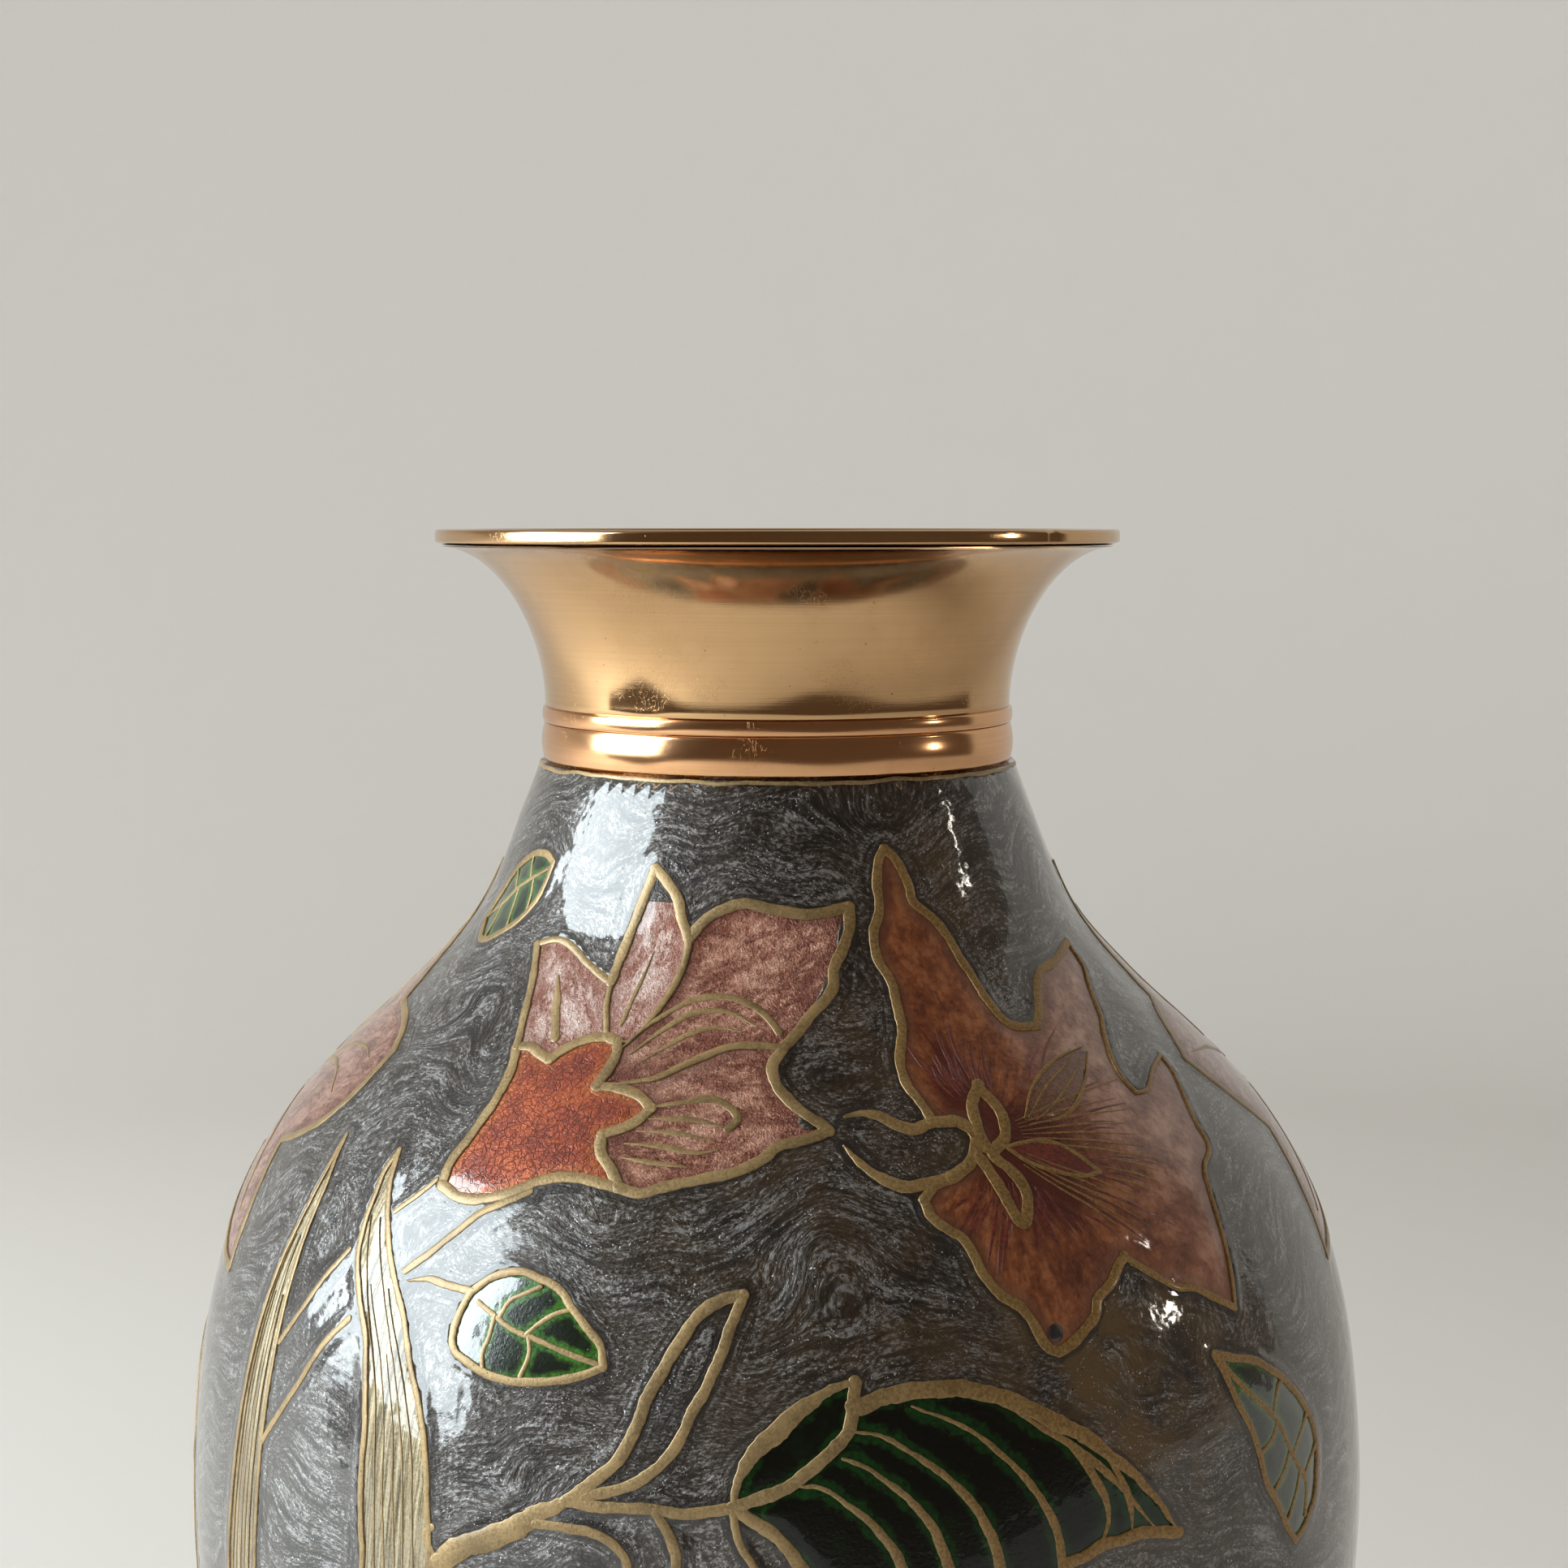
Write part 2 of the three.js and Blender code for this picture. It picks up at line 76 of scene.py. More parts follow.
def smooth(points, count):
    """A Catmull-Rom curve through points, with count steps (or one count for each stretch)."""
    p = np.array(points, float)
    p = np.vstack([2 * p[0] - p[1], p, 2 * p[-1] - p[-2]])
    counts = count if isinstance(count, list) else [count] * (len(p) - 3)
    out = []
    for a, b, c, d, n in zip(p, p[1:], p[2:], p[3:], counts):
        t = np.arange(n)[:, None] / n
        out.append(b + (c - a) * t / 2 + (a - 2.5 * b + 2 * c - d / 2) * t**2
                   + (1.5 * (b - c) + (d - a) / 2) * t**3)
    return np.vstack(out + [p[-2:-1]])


BODY = smooth(BODY_POINTS, 24)[::-1]
BODY_ARC = np.concatenate([[0], np.cumsum(np.hypot(*np.diff(BODY, axis=0).T))])
BODY_SLOPE = np.gradient(BODY[:, 0]) / np.gradient(BODY[:, 1])


def radius_at(height):
    return np.interp(height, BODY[:, 1], BODY[:, 0])


def arc_at(height):
    """Millimetres along the body's profile, up from the foot."""
    return np.interp(height, BODY[:, 1], BODY_ARC)


def height_at(arc):
    return np.interp(arc, BODY_ARC, BODY[:, 1])


def normal_at(places):
    slope = np.interp(places[:, 1], BODY[:, 1], BODY_SLOPE)
    a = np.radians(places[:, 0])
    n = np.stack([np.sin(a), -np.cos(a), -slope], -1)
    return n / np.linalg.norm(n, axis=-1, keepdims=True)


def on_body(places, lift=0.0):
    """The points at (azimuth, height) places on the body, lifted along its normal, in millimetres."""
    a, r = np.radians(places[:, 0]), radius_at(places[:, 1])
    base = np.stack([r * np.sin(a), -r * np.cos(a), places[:, 1]], -1)
    return base + normal_at(places) * np.asarray(lift, float)[..., None]


# ---- The ornament's lines, in (azimuth, height); strokes meet at sharp corners ----

# Each motif: the usual width of its wire, and the wire's strokes in the order in which they are laid.
MOTIFS = {
    "bell_flower": (1.25, {
        "cup_left": [(-37, 172), (-37.3, 174), (-36.5, 177), (-36, 180), (-36.5, 182.5), (-38, 184.5)],
        "cup_top_a": [(-38, 184.5), (-35.5, 184.7), (-33.5, 184.2), (-31.5, 183.8)],
        "cup_top_b": [(-31.5, 183.8), (-29.5, 185.2), (-27, 186), (-24.5, 186.3)],
        "cup_top_c": [(-24.5, 186.3), (-22.5, 186)],
        "cup_side": [(-22.5, 186), (-22, 184.5), (-23, 182)],
        "cup_tip_upper": [(-23, 182), (-20, 182), (-17, 181.5), (-15, 180.5)],
        "cup_tip_lower": [(-15, 180.5), (-17, 179), (-20, 178)],
        "cup_right_low": [(-20, 178), (-19.5, 176.5), (-17.5, 175), (-16.5, 173.7)],
        "cup_bottom": [(-16.5, 173.7), (-19, 174), (-22.5, 174.2), (-25.5, 173.5), (-29, 172),
            (-32, 171.3), (-34.5, 171.3), (-37, 172)],
        "petal_1_left": [(-38, 184.5), (-40, 187), (-42, 189.5), (-44, 191.5), (-47, 194)],
        "petal_1_top": [(-47, 194), (-43, 194.7), (-39.5, 194.5), (-34, 193), (-30.5, 192),
            (-27.5, 191.3)],
        "petal_1_2": [(-27.5, 191.3), (-26.5, 189), (-24.5, 186.3)],
        "petal_2_left": [(-27.5, 191.3), (-27.5, 193.5), (-27, 196.5), (-26, 199.5), (-24.5, 203)],
        "petal_2_right": [(-24.5, 203), (-22, 202), (-19, 200), (-17.5, 198), (-15.7, 196)],
        "petal_2_3": [(-15.7, 196), (-15.5, 194.5), (-16, 192.5), (-17, 190.5), (-18.5, 188.5),
            (-20.5, 186.3), (-22.5, 186)],
        "petal_3_top": [(-15.7, 196), (-13, 198), (-9.5, 199.2), (-5.5, 199.7), (-1, 199.2), (3.5, 198.7),
            (8, 198.7), (13.5, 199.3)],
        "petal_3_right": [(13.5, 199.3), (13, 197), (11.2, 194.8), (9.5, 193.3), (9, 191.5), (7, 190),
            (4.5, 188.5), (2.5, 187), (1, 186)],
        "petal_3_4": [(1, 186), (-3, 186.2), (-6.5, 186), (-9.5, 185.2), (-12.5, 184.2), (-16, 183),
            (-23, 182)],
        "petal_4_right": [(1, 186), (-0.5, 184.5), (0, 182.8), (1.5, 181.5), (3, 180.5), (5, 179.5),
            (6, 178.8)],
        "petal_4_bottom": [(6, 178.8), (2.5, 178), (0, 177.5), (-1.5, 176.5), (-4, 175.5), (-6.5, 175),
            (-9, 174.5), (-11.5, 174), (-14, 173.3), (-16.5, 173.7)],
    }),
    "lily": (1.1, {
        "lily_1_left": [(18.3, 179.2), (17.5, 181), (16.5, 182.5), (16.5, 184.5), (18, 187),
            (18.5, 189.5), (18.5, 192), (17.2, 194), (17.5, 196.5), (19.3, 199), (19.5, 201.5),
            (20.5, 204), (22, 205.2)],
        "lily_1_right": [(22, 205.2), (24.5, 203.8), (26, 201.5), (26.5, 199.5), (30, 197.5), (32, 195.5),
            (32.7, 193.5), (33.5, 191.7), (34, 189.5), (35, 187.5), (37, 186.5), (40.5, 186.3)],
        "lily_2_left": [(40.5, 186.3), (42.5, 187.5), (45.3, 189.5), (48.5, 191), (54.5, 191.7),
            (63, 193)],
        "lily_2_right": [(63, 193), (62, 190.5), (58.5, 188.5), (55.5, 186), (52.5, 184.3), (50, 182.3),
            (49, 180.5), (49.5, 179)],
        "lily_3_upper": [(49.5, 179), (52, 179), (56, 180.3), (61, 181.2)],
        "lily_3_lower": [(61, 181.2), (60.5, 179.5), (58, 177), (56.5, 175), (55.5, 172.8), (52.3, 171.3),
            (51, 169.5), (50, 167), (49, 163.5), (48.2, 160.5), (47.5, 158.3)],
        "lily_4": [(47.5, 158.3), (45.5, 159.5), (42.5, 161.3), (40.5, 161.8), (38.5, 163), (36.5, 164.5),
            (35, 165.7)],
        "lily_5_right": [(35, 165.7), (34, 165), (32.5, 163.5), (30.7, 162.5), (30, 161), (28.5, 159.8),
            (27, 158.8), (25.5, 158.2)],
        "lily_5_left": [(25.5, 158.2), (24.3, 159), (23.5, 161), (22.5, 162.7), (20.8, 164),
            (19.5, 165.8), (19, 167.5), (18.3, 169), (17, 170), (15.5, 171.2), (15, 172.7)],
        "lily_heart": [(18.5, 174.4), (21, 175.4), (22.6, 176.8), (22.8, 178), (21.3, 179),
            (18.3, 179.2)],
        "lily_join": [(15, 172.7), (16.5, 173.8), (18.5, 174.4)],
        "stigma_upper": [(8, 180), (10, 180.2), (12, 180), (14.2, 179), (16, 178.7), (18.3, 179.2)],
        "stigma_lower": [(18.5, 174.4), (15.5, 174), (13, 174), (10.5, 175), (8.5, 176.5), (7.5, 177.5)],
    }),
    "small_leaf": (0.9, {
        "small_leaf_stem": [(-36.5, 163.2), (-34, 163.7), (-31.5, 163.5), (-29, 163.3)],
        "small_leaf_top": [(-29, 163.3), (-27, 165), (-24.5, 165.7), (-22.5, 165.4), (-20, 164.5),
            (-18.5, 163), (-17, 161.5), (-15.5, 160), (-15, 158)],
        "small_leaf_bottom": [(-15, 158), (-17, 157), (-19, 156.4), (-21, 156), (-23.5, 155.8),
            (-25.5, 156), (-27.5, 156.7), (-29.5, 157.7), (-30, 159.5), (-29.7, 161.5), (-29, 163.3)],
    }),
    "curling_leaf": (1.15, {
        "curl_upper": [(-17.5, 145.2), (-15, 147.5), (-13.2, 149.5), (-12, 152), (-11, 155.3),
            (-9.8, 158), (-8.5, 160.5), (-7, 163), (-5, 164.5), (-3, 165)],
        "curl_lower": [(-3, 165), (-3.5, 163.5), (-4.2, 161.5), (-5, 159), (-6, 156.5), (-7, 154.5),
            (-7.8, 152.3), (-8.7, 150.5), (-10, 148.9), (-11.5, 147.6), (-13.5, 146.6), (-15.5, 146),
            (-17.5, 145.2)],
        "curl_stem": [(-17.5, 145.2), (-14.5, 145), (-11, 145.2), (-8.5, 145), (-6.5, 145),
            (-3.5, 145.7)],
        "curl_branch": [(-9.8, 144.9), (-8.5, 142.5), (-8, 139.5), (-8.5, 134), (-11, 127), (-15, 120)],
        "curl_arch": [(-20, 142.7), (-17.5, 142.7), (-14.5, 142.3), (-12.7, 141), (-12, 139),
            (-12.5, 134), (-15, 128)],
        "curl_root": [(-29, 137), (-31.5, 132), (-33.5, 126)],
        "curl_thick": [(-29, 137), (-27, 139), (-23, 141.2), (-20, 143.5), (-17.5, 145.2),
            (-15.5, 146.5)],
    }),
    "striped_leaf": (1.3, {
        "striped_1_top": [(-3.5, 145.7), (-3, 148.5), (-2, 150.5), (0, 152.7), (2, 154.7), (3.7, 156),
            (5.3, 156.8), (6.7, 157.2)],
        "striped_1_tip": [(6.7, 157.2), (6.5, 155)],
        "striped_1_low": [(6.5, 155), (6, 152.7), (5, 151.3), (3.3, 149.7), (1.5, 148), (-0.5, 146.9),
            (-3.5, 145.7)],
        "striped_2_top": [(6.5, 155), (7.5, 155), (9, 155.7), (12, 156.1), (15.5, 156), (18.5, 155.2),
            (21.5, 153.7), (24, 152), (27, 150), (29, 148), (31.5, 145.5), (33, 143.5), (34.5, 141.3),
            (36, 138.5)],
        "striped_2_low": [(36, 138.5), (34, 139), (32, 139.5), (30, 139.2), (28, 139.2), (26.5, 138.5),
            (24.5, 138)],
        "striped_2_right": [(24.5, 138), (25.3, 131), (24, 122), (21, 115), (18, 112.5)],
        "striped_2_left": [(-3.5, 145.7), (-2, 144.5), (0, 143), (2, 140), (6, 132), (11, 123),
            (18, 112.5)],
        "striped_second": [(-3.5, 145.4), (-3, 142.5), (-1.5, 139.5), (2, 131.5), (6.5, 124)],
    }),
    "celled_leaf": (0.9, {
        "celled_outer": [(43, 154.7), (45.5, 153.7), (48.5, 152.7), (51.5, 150.7), (54, 148.5), (56, 146),
            (57.5, 143.5), (58, 141), (57.5, 138), (56.7, 135.5), (54.5, 133.3), (52.5, 132.3)],
        "celled_inner": [(52.5, 132.3), (51, 134.5), (49.5, 137.5), (48, 140.3), (47.3, 143.5),
            (46.4, 146.5), (45, 149.5), (44, 152.5), (43, 154.7)],
    }),
    "tall_blade": (0.8, {
        "tall_blade_left": [(-45.7, 174), (-46, 172), (-45.5, 169.5), (-45, 167), (-44, 164),
            (-42, 160.5), (-40, 157), (-39, 153), (-38.2, 148.5), (-38, 143.5), (-37.6, 138.5),
            (-37.3, 134.5), (-38, 120), (-41, 98), (-46, 74)],
        "tall_blade_right": [(-46, 74), (-36, 98), (-30.5, 122), (-30, 136.5), (-30.4, 142), (-31, 147),
            (-32.2, 151.5), (-34, 155.5), (-36, 160), (-39, 164), (-42, 168), (-43.8, 170.5),
            (-45.7, 174)],
    }),
    "short_blade": (0.7, {
        "short_blade_left": [(-57, 78), (-58.5, 95), (-59.2, 112), (-59, 126.5), (-58.3, 137),
            (-57.8, 145), (-57.2, 153.5), (-56.5, 160), (-55.9, 165), (-56, 169.5), (-56.7, 173.7)],
        "short_blade_right": [(-56.7, 173.7), (-54.5, 169), (-53.8, 165), (-53.3, 160), (-53, 149.5),
            (-53, 136.5), (-53.3, 122), (-54.5, 100), (-57, 78)],
    }),
    "star_flower": (1.1, {
        "star_1": [(-77, 185), (-71, 184.5), (-66, 183.5), (-62, 181.5)],
        "star_2": [(-62, 181.5), (-62.3, 177.5), (-64.5, 174), (-69, 171.5), (-73.5, 170)],
        "star_3": [(-73.5, 170), (-70.5, 163.5), (-70, 156.5)],
        "star_4": [(-70, 156.5), (-75, 157), (-80, 159), (-84.5, 162), (-88, 166)],
        "star_5": [(-88, 166), (-93, 162), (-99, 158.5), (-107, 157)],
        "star_6": [(-107, 157), (-106.5, 164), (-104, 171)],
        "star_7": [(-104, 171), (-108, 174.5), (-113, 180)],
        "star_8": [(-113, 180), (-107, 183.5), (-101, 185)],
        "star_9": [(-101, 185), (-98.5, 192), (-92, 200)],
        "star_10": [(-92, 200), (-85, 193.5), (-77, 185)],
    }),
    "upper_leaf": (0.9, {
        "upper_leaf_top": [(-51.5, 202.5), (-55, 203.3), (-60, 203), (-66, 201), (-70, 197.5),
            (-71, 195)],
        "upper_leaf_low": [(-71, 195), (-66, 193), (-60, 194.3), (-55.5, 196.3), (-52.5, 199),
            (-51.5, 202.5)],
    }),
    "side_leaf": (0.9, {
        "side_leaf_right": [(-88, 147), (-81, 143.5), (-77, 138), (-75, 127), (-76, 117)],
        "side_leaf_left": [(-76, 117), (-82.5, 120.5), (-87, 127), (-89.5, 137), (-88, 147)],
    }),
    "lower_leaf": (0.9, {
        "lower_leaf_right": [(38, 112), (44, 106), (46, 98), (43.5, 88), (38, 80)],
        "lower_leaf_left": [(38, 80), (31, 87), (29, 96), (32, 105), (38, 112)],
    }),
}

# Strokes that are drawn otherwise, as (width, taper). A taper of 1 thins a stroke towards its start,
# 2 towards its end and 3 towards both.
STYLES = {
    "petal_1_2": (0.7, 0), "petal_2_3": (0.8, 2), "petal_3_4": (0.9, 2), "petal_1_top": (0.9, 0),
    "petal_1_left": (1, 0), "lily_heart": (1.4, 0), "stigma_upper": (1.4, 1), "stigma_lower": (1.4, 2),
    "lily_3_upper": (0.5, 0), "lily_4": (0.8, 0), "lily_2_right": (0.6, 0), "lily_3_lower": (0.6, 0),
    "small_leaf_stem": (0.9, 1), "curl_upper": (1.3, 0), "curl_branch": (1.1, 2), "curl_arch": (1, 2),
    "curl_root": (2.4, 0), "curl_thick": (2.4, 2), "striped_1_top": (2, 3), "striped_2_top": (1.7, 2),
    "striped_second": (0.8, 2),
}

# Fine brass lines inside the motifs, as (width, taper, points).
VEINS = {
    "bell_flower": [
        (1.1, 1, [(-38, 191.3), (-35.5, 188.8), (-32.5, 185.7)]),
        (0.5, 1, [(-21.5, 194.5), (-22.5, 190.5), (-23, 187.5)]),
        (0.8, 1, [(-21.5, 185.5), (-19, 187.5), (-15.5, 189.2), (-12.5, 190.2), (-7.5, 190.5),
            (-3.5, 189.7), (-1, 188.5), (0.3, 187.3)]),
        (0.8, 3, [(-20, 185), (-16, 187.5), (-12, 189), (-7, 189.1), (-3, 187.9)]),
        (0.7, 3, [(-18.5, 184.2), (-15.5, 185.7), (-12.5, 187), (-9, 187.7), (-5, 187.4)]),
        (0.9, 1, [(-15, 180.6), (-12, 181), (-8.5, 181.5), (-6, 181), (-4.5, 180), (-5.5, 179)]),
        (0.7, 3, [(-15, 179.6), (-10, 179.7), (-6, 179.2)]),
        (0.6, 3, [(-16, 178.5), (-11.5, 178.5), (-7, 178)]),
        (0.7, 3, [(-17, 177.4), (-12.5, 177.3), (-9, 176.9), (-6.5, 177.2)]),
        (0.6, 3, [(-17, 176.2), (-13, 175.9), (-9.5, 175.7)]),
    ],
    "small_leaf": [
        (0.6, 0, [(-28, 162.5), (-26, 161.5), (-24, 160.5), (-22, 160), (-19.5, 159.3), (-17.5, 158.7),
            (-15.5, 158.2)]),
        (0.5, 0, [(-25.5, 161.5), (-24.8, 163), (-23.5, 163.8), (-22, 164.6)]),
        (0.5, 0, [(-22.5, 160.3), (-21.3, 161.5), (-20, 162.4), (-18.6, 162.9)]),
        (0.5, 0, [(-26, 161.5), (-26.2, 159.5), (-26.6, 158), (-26.3, 156.3)]),
        (0.5, 0, [(-22.3, 160), (-22, 158.5), (-22.6, 156.3)]),
    ],
    "striped_leaf": [
        (1, 1, [(11.5, 154.7), (14, 153.5), (16.5, 152), (19, 149.5), (21, 147), (22.7, 144),
            (23.6, 141.5), (24, 138.5), (24, 130), (22, 120), (19, 114)]),
        (1.2, 1, [(6.5, 152.7), (9, 152), (11.5, 150.2), (14, 148), (16, 145.5), (17.5, 142.5),
            (18.5, 138.5), (19.6, 130), (19.5, 120), (18.4, 114)]),
        (1.2, 1, [(5.5, 150.2), (7.5, 149.2), (10, 147), (12.2, 144.3), (13.4, 141.5), (14.2, 138.5),
            (15.8, 130), (17.2, 120)]),
        (1.2, 1, [(2, 147.7), (3.7, 147.5), (5.7, 146), (7.7, 144), (9.3, 141.7), (10.2, 139.3),
            (12.5, 131), (15.5, 121)]),
        (1, 3, [(23.5, 151.7), (26, 148.7), (27.5, 146), (28.5, 143.5), (28.6, 141), (27.7, 139.2)]),
        (0.9, 3, [(29, 147.7), (30.5, 144.5), (31, 142), (31, 140)]),
        (0.9, 3, [(19.5, 154.4), (22.5, 151.8), (26, 149), (29.5, 145.3), (32, 141.7), (33.5, 139.5)]),
    ],
    "celled_leaf": [
        (0.7, 0, [(43.5, 154.3), (45, 152), (47.5, 149.2), (50, 146.7), (51.3, 144.8), (52.5, 142),
            (53.7, 140), (55, 137.7), (54.5, 134.5)]),
        (0.55, 0, [(50.5, 145.3), (49.3, 144), (47.6, 143.3)]),
        (0.55, 0, [(52.3, 142), (51.2, 140.5), (49.2, 138.7)]),
        (0.55, 0, [(54, 139.5), (53, 137.5), (51.3, 135)]),
        (0.55, 0, [(50.3, 146.7), (51.5, 148.8), (53, 149.7)]),
        (0.55, 0, [(53, 141.5), (55, 143.5), (56.7, 145)]),
        (0.55, 0, [(54.7, 138.5), (56.3, 140), (57.8, 141)]),
    ],
    "upper_leaf": [
        (0.5, 0, [(-51.8, 202), (-58, 200.3), (-62, 199), (-66, 197), (-70.5, 195.2)]),
        (0.4, 0, [(-57, 200.7), (-55.5, 198.5), (-55, 196.8)]),
        (0.4, 0, [(-61.5, 199.2), (-60.5, 196.8), (-59, 194.8)]),
        (0.4, 0, [(-66, 197), (-65.5, 195), (-65, 193.2)]),
        (0.4, 0, [(-58, 200.3), (-59.5, 202), (-60, 203)]),
        (0.4, 0, [(-62.5, 198.8), (-64.5, 200.5), (-65.5, 201.2)]),
    ],
    "side_leaf": [
        (0.6, 0, [(-88, 147), (-83, 139), (-80.5, 129), (-76, 117)]),
        (0.5, 0, [(-83.5, 140), (-80, 139.5), (-77.3, 138.5)]),
        (0.5, 0, [(-81.5, 133), (-78.5, 132), (-75.8, 131.5)]),
        (0.5, 0, [(-80, 126), (-78, 124.5), (-75.3, 123.5)]),
        (0.5, 0, [(-84, 141), (-86.5, 141), (-89, 140.5)]),
        (0.5, 0, [(-82, 134.5), (-85.5, 133.5), (-89, 133)]),
        (0.5, 0, [(-80.6, 128), (-83.5, 127), (-86.8, 127.3)]),
    ],
    "lower_leaf": [
        (0.6, 0, [(38, 112), (37.2, 102), (37.6, 92), (38, 80)]),
        (0.5, 0, [(37.3, 103), (40.5, 104), (43.8, 106)]),
        (0.5, 0, [(37.3, 96), (41, 96.5), (45.8, 98.5)]),
        (0.5, 0, [(37.6, 89), (40.5, 89), (44, 90)]),
        (0.5, 0, [(37.3, 104), (34.5, 104.5), (32, 105)]),
        (0.5, 0, [(37.3, 97), (33.5, 96.5), (29.2, 97)]),
        (0.5, 0, [(37.6, 90), (34.5, 88.5), (31, 87.5)]),
    ],
    "star_flower": [
        (1, 2, [(-88, 166), (-93.5, 140), (-95.5, 110), (-91, 76)]),
        (0.6, 2, [(-88, 176), (-80, 179.5), (-72, 180.5), (-67, 180)]),
        (0.6, 2, [(-88, 176), (-82, 177.5), (-75, 177.5), (-69, 176)]),
        (0.6, 2, [(-87, 173), (-80, 168), (-75, 161.5)]),
        (0.6, 2, [(-91, 173), (-97, 167), (-103, 161)]),
        (0.6, 2, [(-91, 177), (-99, 179), (-108, 180)]),
        (0.6, 2, [(-90, 179), (-91, 187), (-91.5, 195)]),
    ],
}

# Stems between the motifs, as (width, points).
STEMS = [
    (0.7, [(-38, 172.3), (-39.5, 170.7), (-41.5, 168.9)]),
    (0.7, [(-45.6, 164.5), (-48, 161), (-50, 157.5), (-52.5, 153.5)]),
    (0.9, [(-26, 172.6), (-28.5, 171.4), (-31, 170), (-33, 168), (-35, 166), (-37.2, 164)]),
    (0.8, [(-42.7, 158.3), (-45.5, 155), (-48, 150.5), (-50.5, 146.5), (-52.8, 143)]),
    (0.8, [(-29.8, 140.5), (-30.5, 139.5), (-29, 137)]),
]

# Each cell of enamel: its outline as a chain of strokes ("-" runs one backwards), its look, and two
# places that its brush marks run between.
CELLS = {
    "bell_cup": (
        "cup_left cup_top_a cup_top_b cup_top_c cup_side cup_tip_upper cup_tip_lower "
        "cup_right_low cup_bottom", "orange", (-36, 172), (-20, 182)),
    # The two petals on the window side take the paler copy of the pink, painted window light.
    "bell_petal_1": (
        "petal_1_left petal_1_top petal_1_2 -cup_top_b -cup_top_a", "pale", (-32, 185), (-42, 194)),
    "bell_petal_2": (
        "petal_2_left petal_2_right petal_2_3 -cup_top_c -petal_1_2", "pale", (-24, 187), (-24, 202)),
    "bell_petal_3": (
        "petal_3_top petal_3_right petal_3_4 -cup_side -petal_2_3", "pink", (-22, 184), (12, 197)),
    "bell_petal_4": (
        "petal_4_right petal_4_bottom -cup_right_low -cup_tip_lower -cup_tip_upper -petal_3_4",
        "pink", (-22, 179), (4, 180)),
    "lily": (
        "lily_1_left lily_1_right lily_2_left lily_2_right lily_3_upper lily_3_lower lily_4 "
        "lily_5_right lily_5_left lily_join lily_heart", "rose", (24, 177), (60, 182)),
    "small_leaf": ("small_leaf_top small_leaf_bottom", "green", (-29, 163), (-15, 158)),
    "curling_leaf": ("curl_upper curl_lower", "slate", (-17, 145), (-3, 165)),
    "striped_leaf_1": ("striped_1_top striped_1_tip striped_1_low", "deep", (-3, 146), (6, 157)),
    "striped_leaf_2": (
        "-striped_1_low striped_2_top striped_2_low striped_2_right -striped_2_left",
        "deep", (-3, 146), (20, 113)),
    "short_blade": ("short_blade_right short_blade_left", "straw", (-57, 78), (-56.7, 173)),
    "tall_blade": ("tall_blade_left tall_blade_right", "straw", (-46, 74), (-45.7, 174)),
    "celled_leaf": ("celled_outer celled_inner", "grey", (43, 154), (53, 133)),
    "upper_leaf": ("upper_leaf_top upper_leaf_low", "grey", (-52, 202), (-71, 195)),
    "star_flower": (" ".join(f"star_{i}" for i in range(1, 11)), "pink", (-89, 176), (-62, 181)),
    "side_leaf": ("side_leaf_right side_leaf_left", "green", (-88, 147), (-76, 117)),
    "lower_leaf": ("lower_leaf_right lower_leaf_left", "green", (38, 112), (38, 80)),
}

# The cells that share one fill in the CAD: the first of each stands for it.
SHARED_FILLS = {"bell_petal_1": "bell_petals", "striped_leaf_1": "striped_leaf"}

# ---- Lines on the body ----

DEGREE = 0.9  # millimetres per degree of azimuth in the flat map, about right at mid-height
STEP = 0.45  # millimetres between the points of a line


def trace(points):
    """A smooth line through (azimuth, height) points, with a point about every STEP."""
    p = np.array(points, float)
    gaps = np.linalg.norm(np.diff(on_body(p), axis=0), axis=1)
    return smooth(points, [max(1, math.ceil(g / STEP)) for g in gaps])


def flat(line):
    """(azimuth, height) points on the flat map: x by azimuth and y by arc, in millimetres."""
    return np.stack([line[:, 0] * DEGREE, arc_at(line[:, 1])], -1)


def unflat(points):
    """The (azimuth, height) places of points on the flat map."""
    return np.stack([points[:, 0] / DEGREE, height_at(points[:, 1])], -1)


LINES = {name: trace(points) for _, strokes in MOTIFS.values() for name, points in strokes.items()}


def stroke(name):
    return LINES[name[1:]][::-1] if name[0] == "-" else LINES[name]


def chain(names):
    """The closed outline made by strokes that follow each other."""
    return np.vstack([stroke(name)[:-1] for name in names.split()])


def tree_of(lines):
    """A tree of points on the body along the lines, for measuring distances to them."""
    points = np.vstack([on_body(line) for line in lines])
    tree = kdtree.KDTree(len(points))
    for i, point in enumerate(points):
        tree.insert(point, i)
    tree.balance()
    return tree


def distances(tree, points):
    return np.array([tree.find(point)[2] for point in points])


# ---- Meshes ----

rng = np.random.default_rng(SEED)


def add_object(name, data):
    made = bpy.data.objects.new(name, data)
    bpy.context.scene.collection.objects.link(made)
    return made


def add_piece(name, vertices, faces, look, node=None, flat_faces=(), values=None):
    """A mesh piece from points in millimetres, with per-point values for its material."""
    slot, material = LOOKS[look]
    mesh = bpy.data.meshes.new(name)
    mesh.from_pydata((np.asarray(vertices) * MM).tolist(), [], faces)
    mesh.update()
    smooth_faces = np.ones(len(mesh.polygons), bool)
    smooth_faces[list(flat_faces)] = False
    mesh.polygons.foreach_set("use_smooth", smooth_faces)
    for key, value in (values or {}).items():
        attribute = mesh.attributes.new(key, "FLOAT", "POINT")
        attribute.data.foreach_set("value", np.asarray(value, np.float32))
    mesh.materials.append(material)
    piece = add_object(name, mesh)
    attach(piece, "root")
    if node:
        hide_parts(node)
    return piece


def half_turn(vertices, face):
    """The points as they are on face 1, or turned half a circle about Z for face 2."""
    return vertices if face == 1 else vertices * np.array([-1.0, -1.0, 1.0])


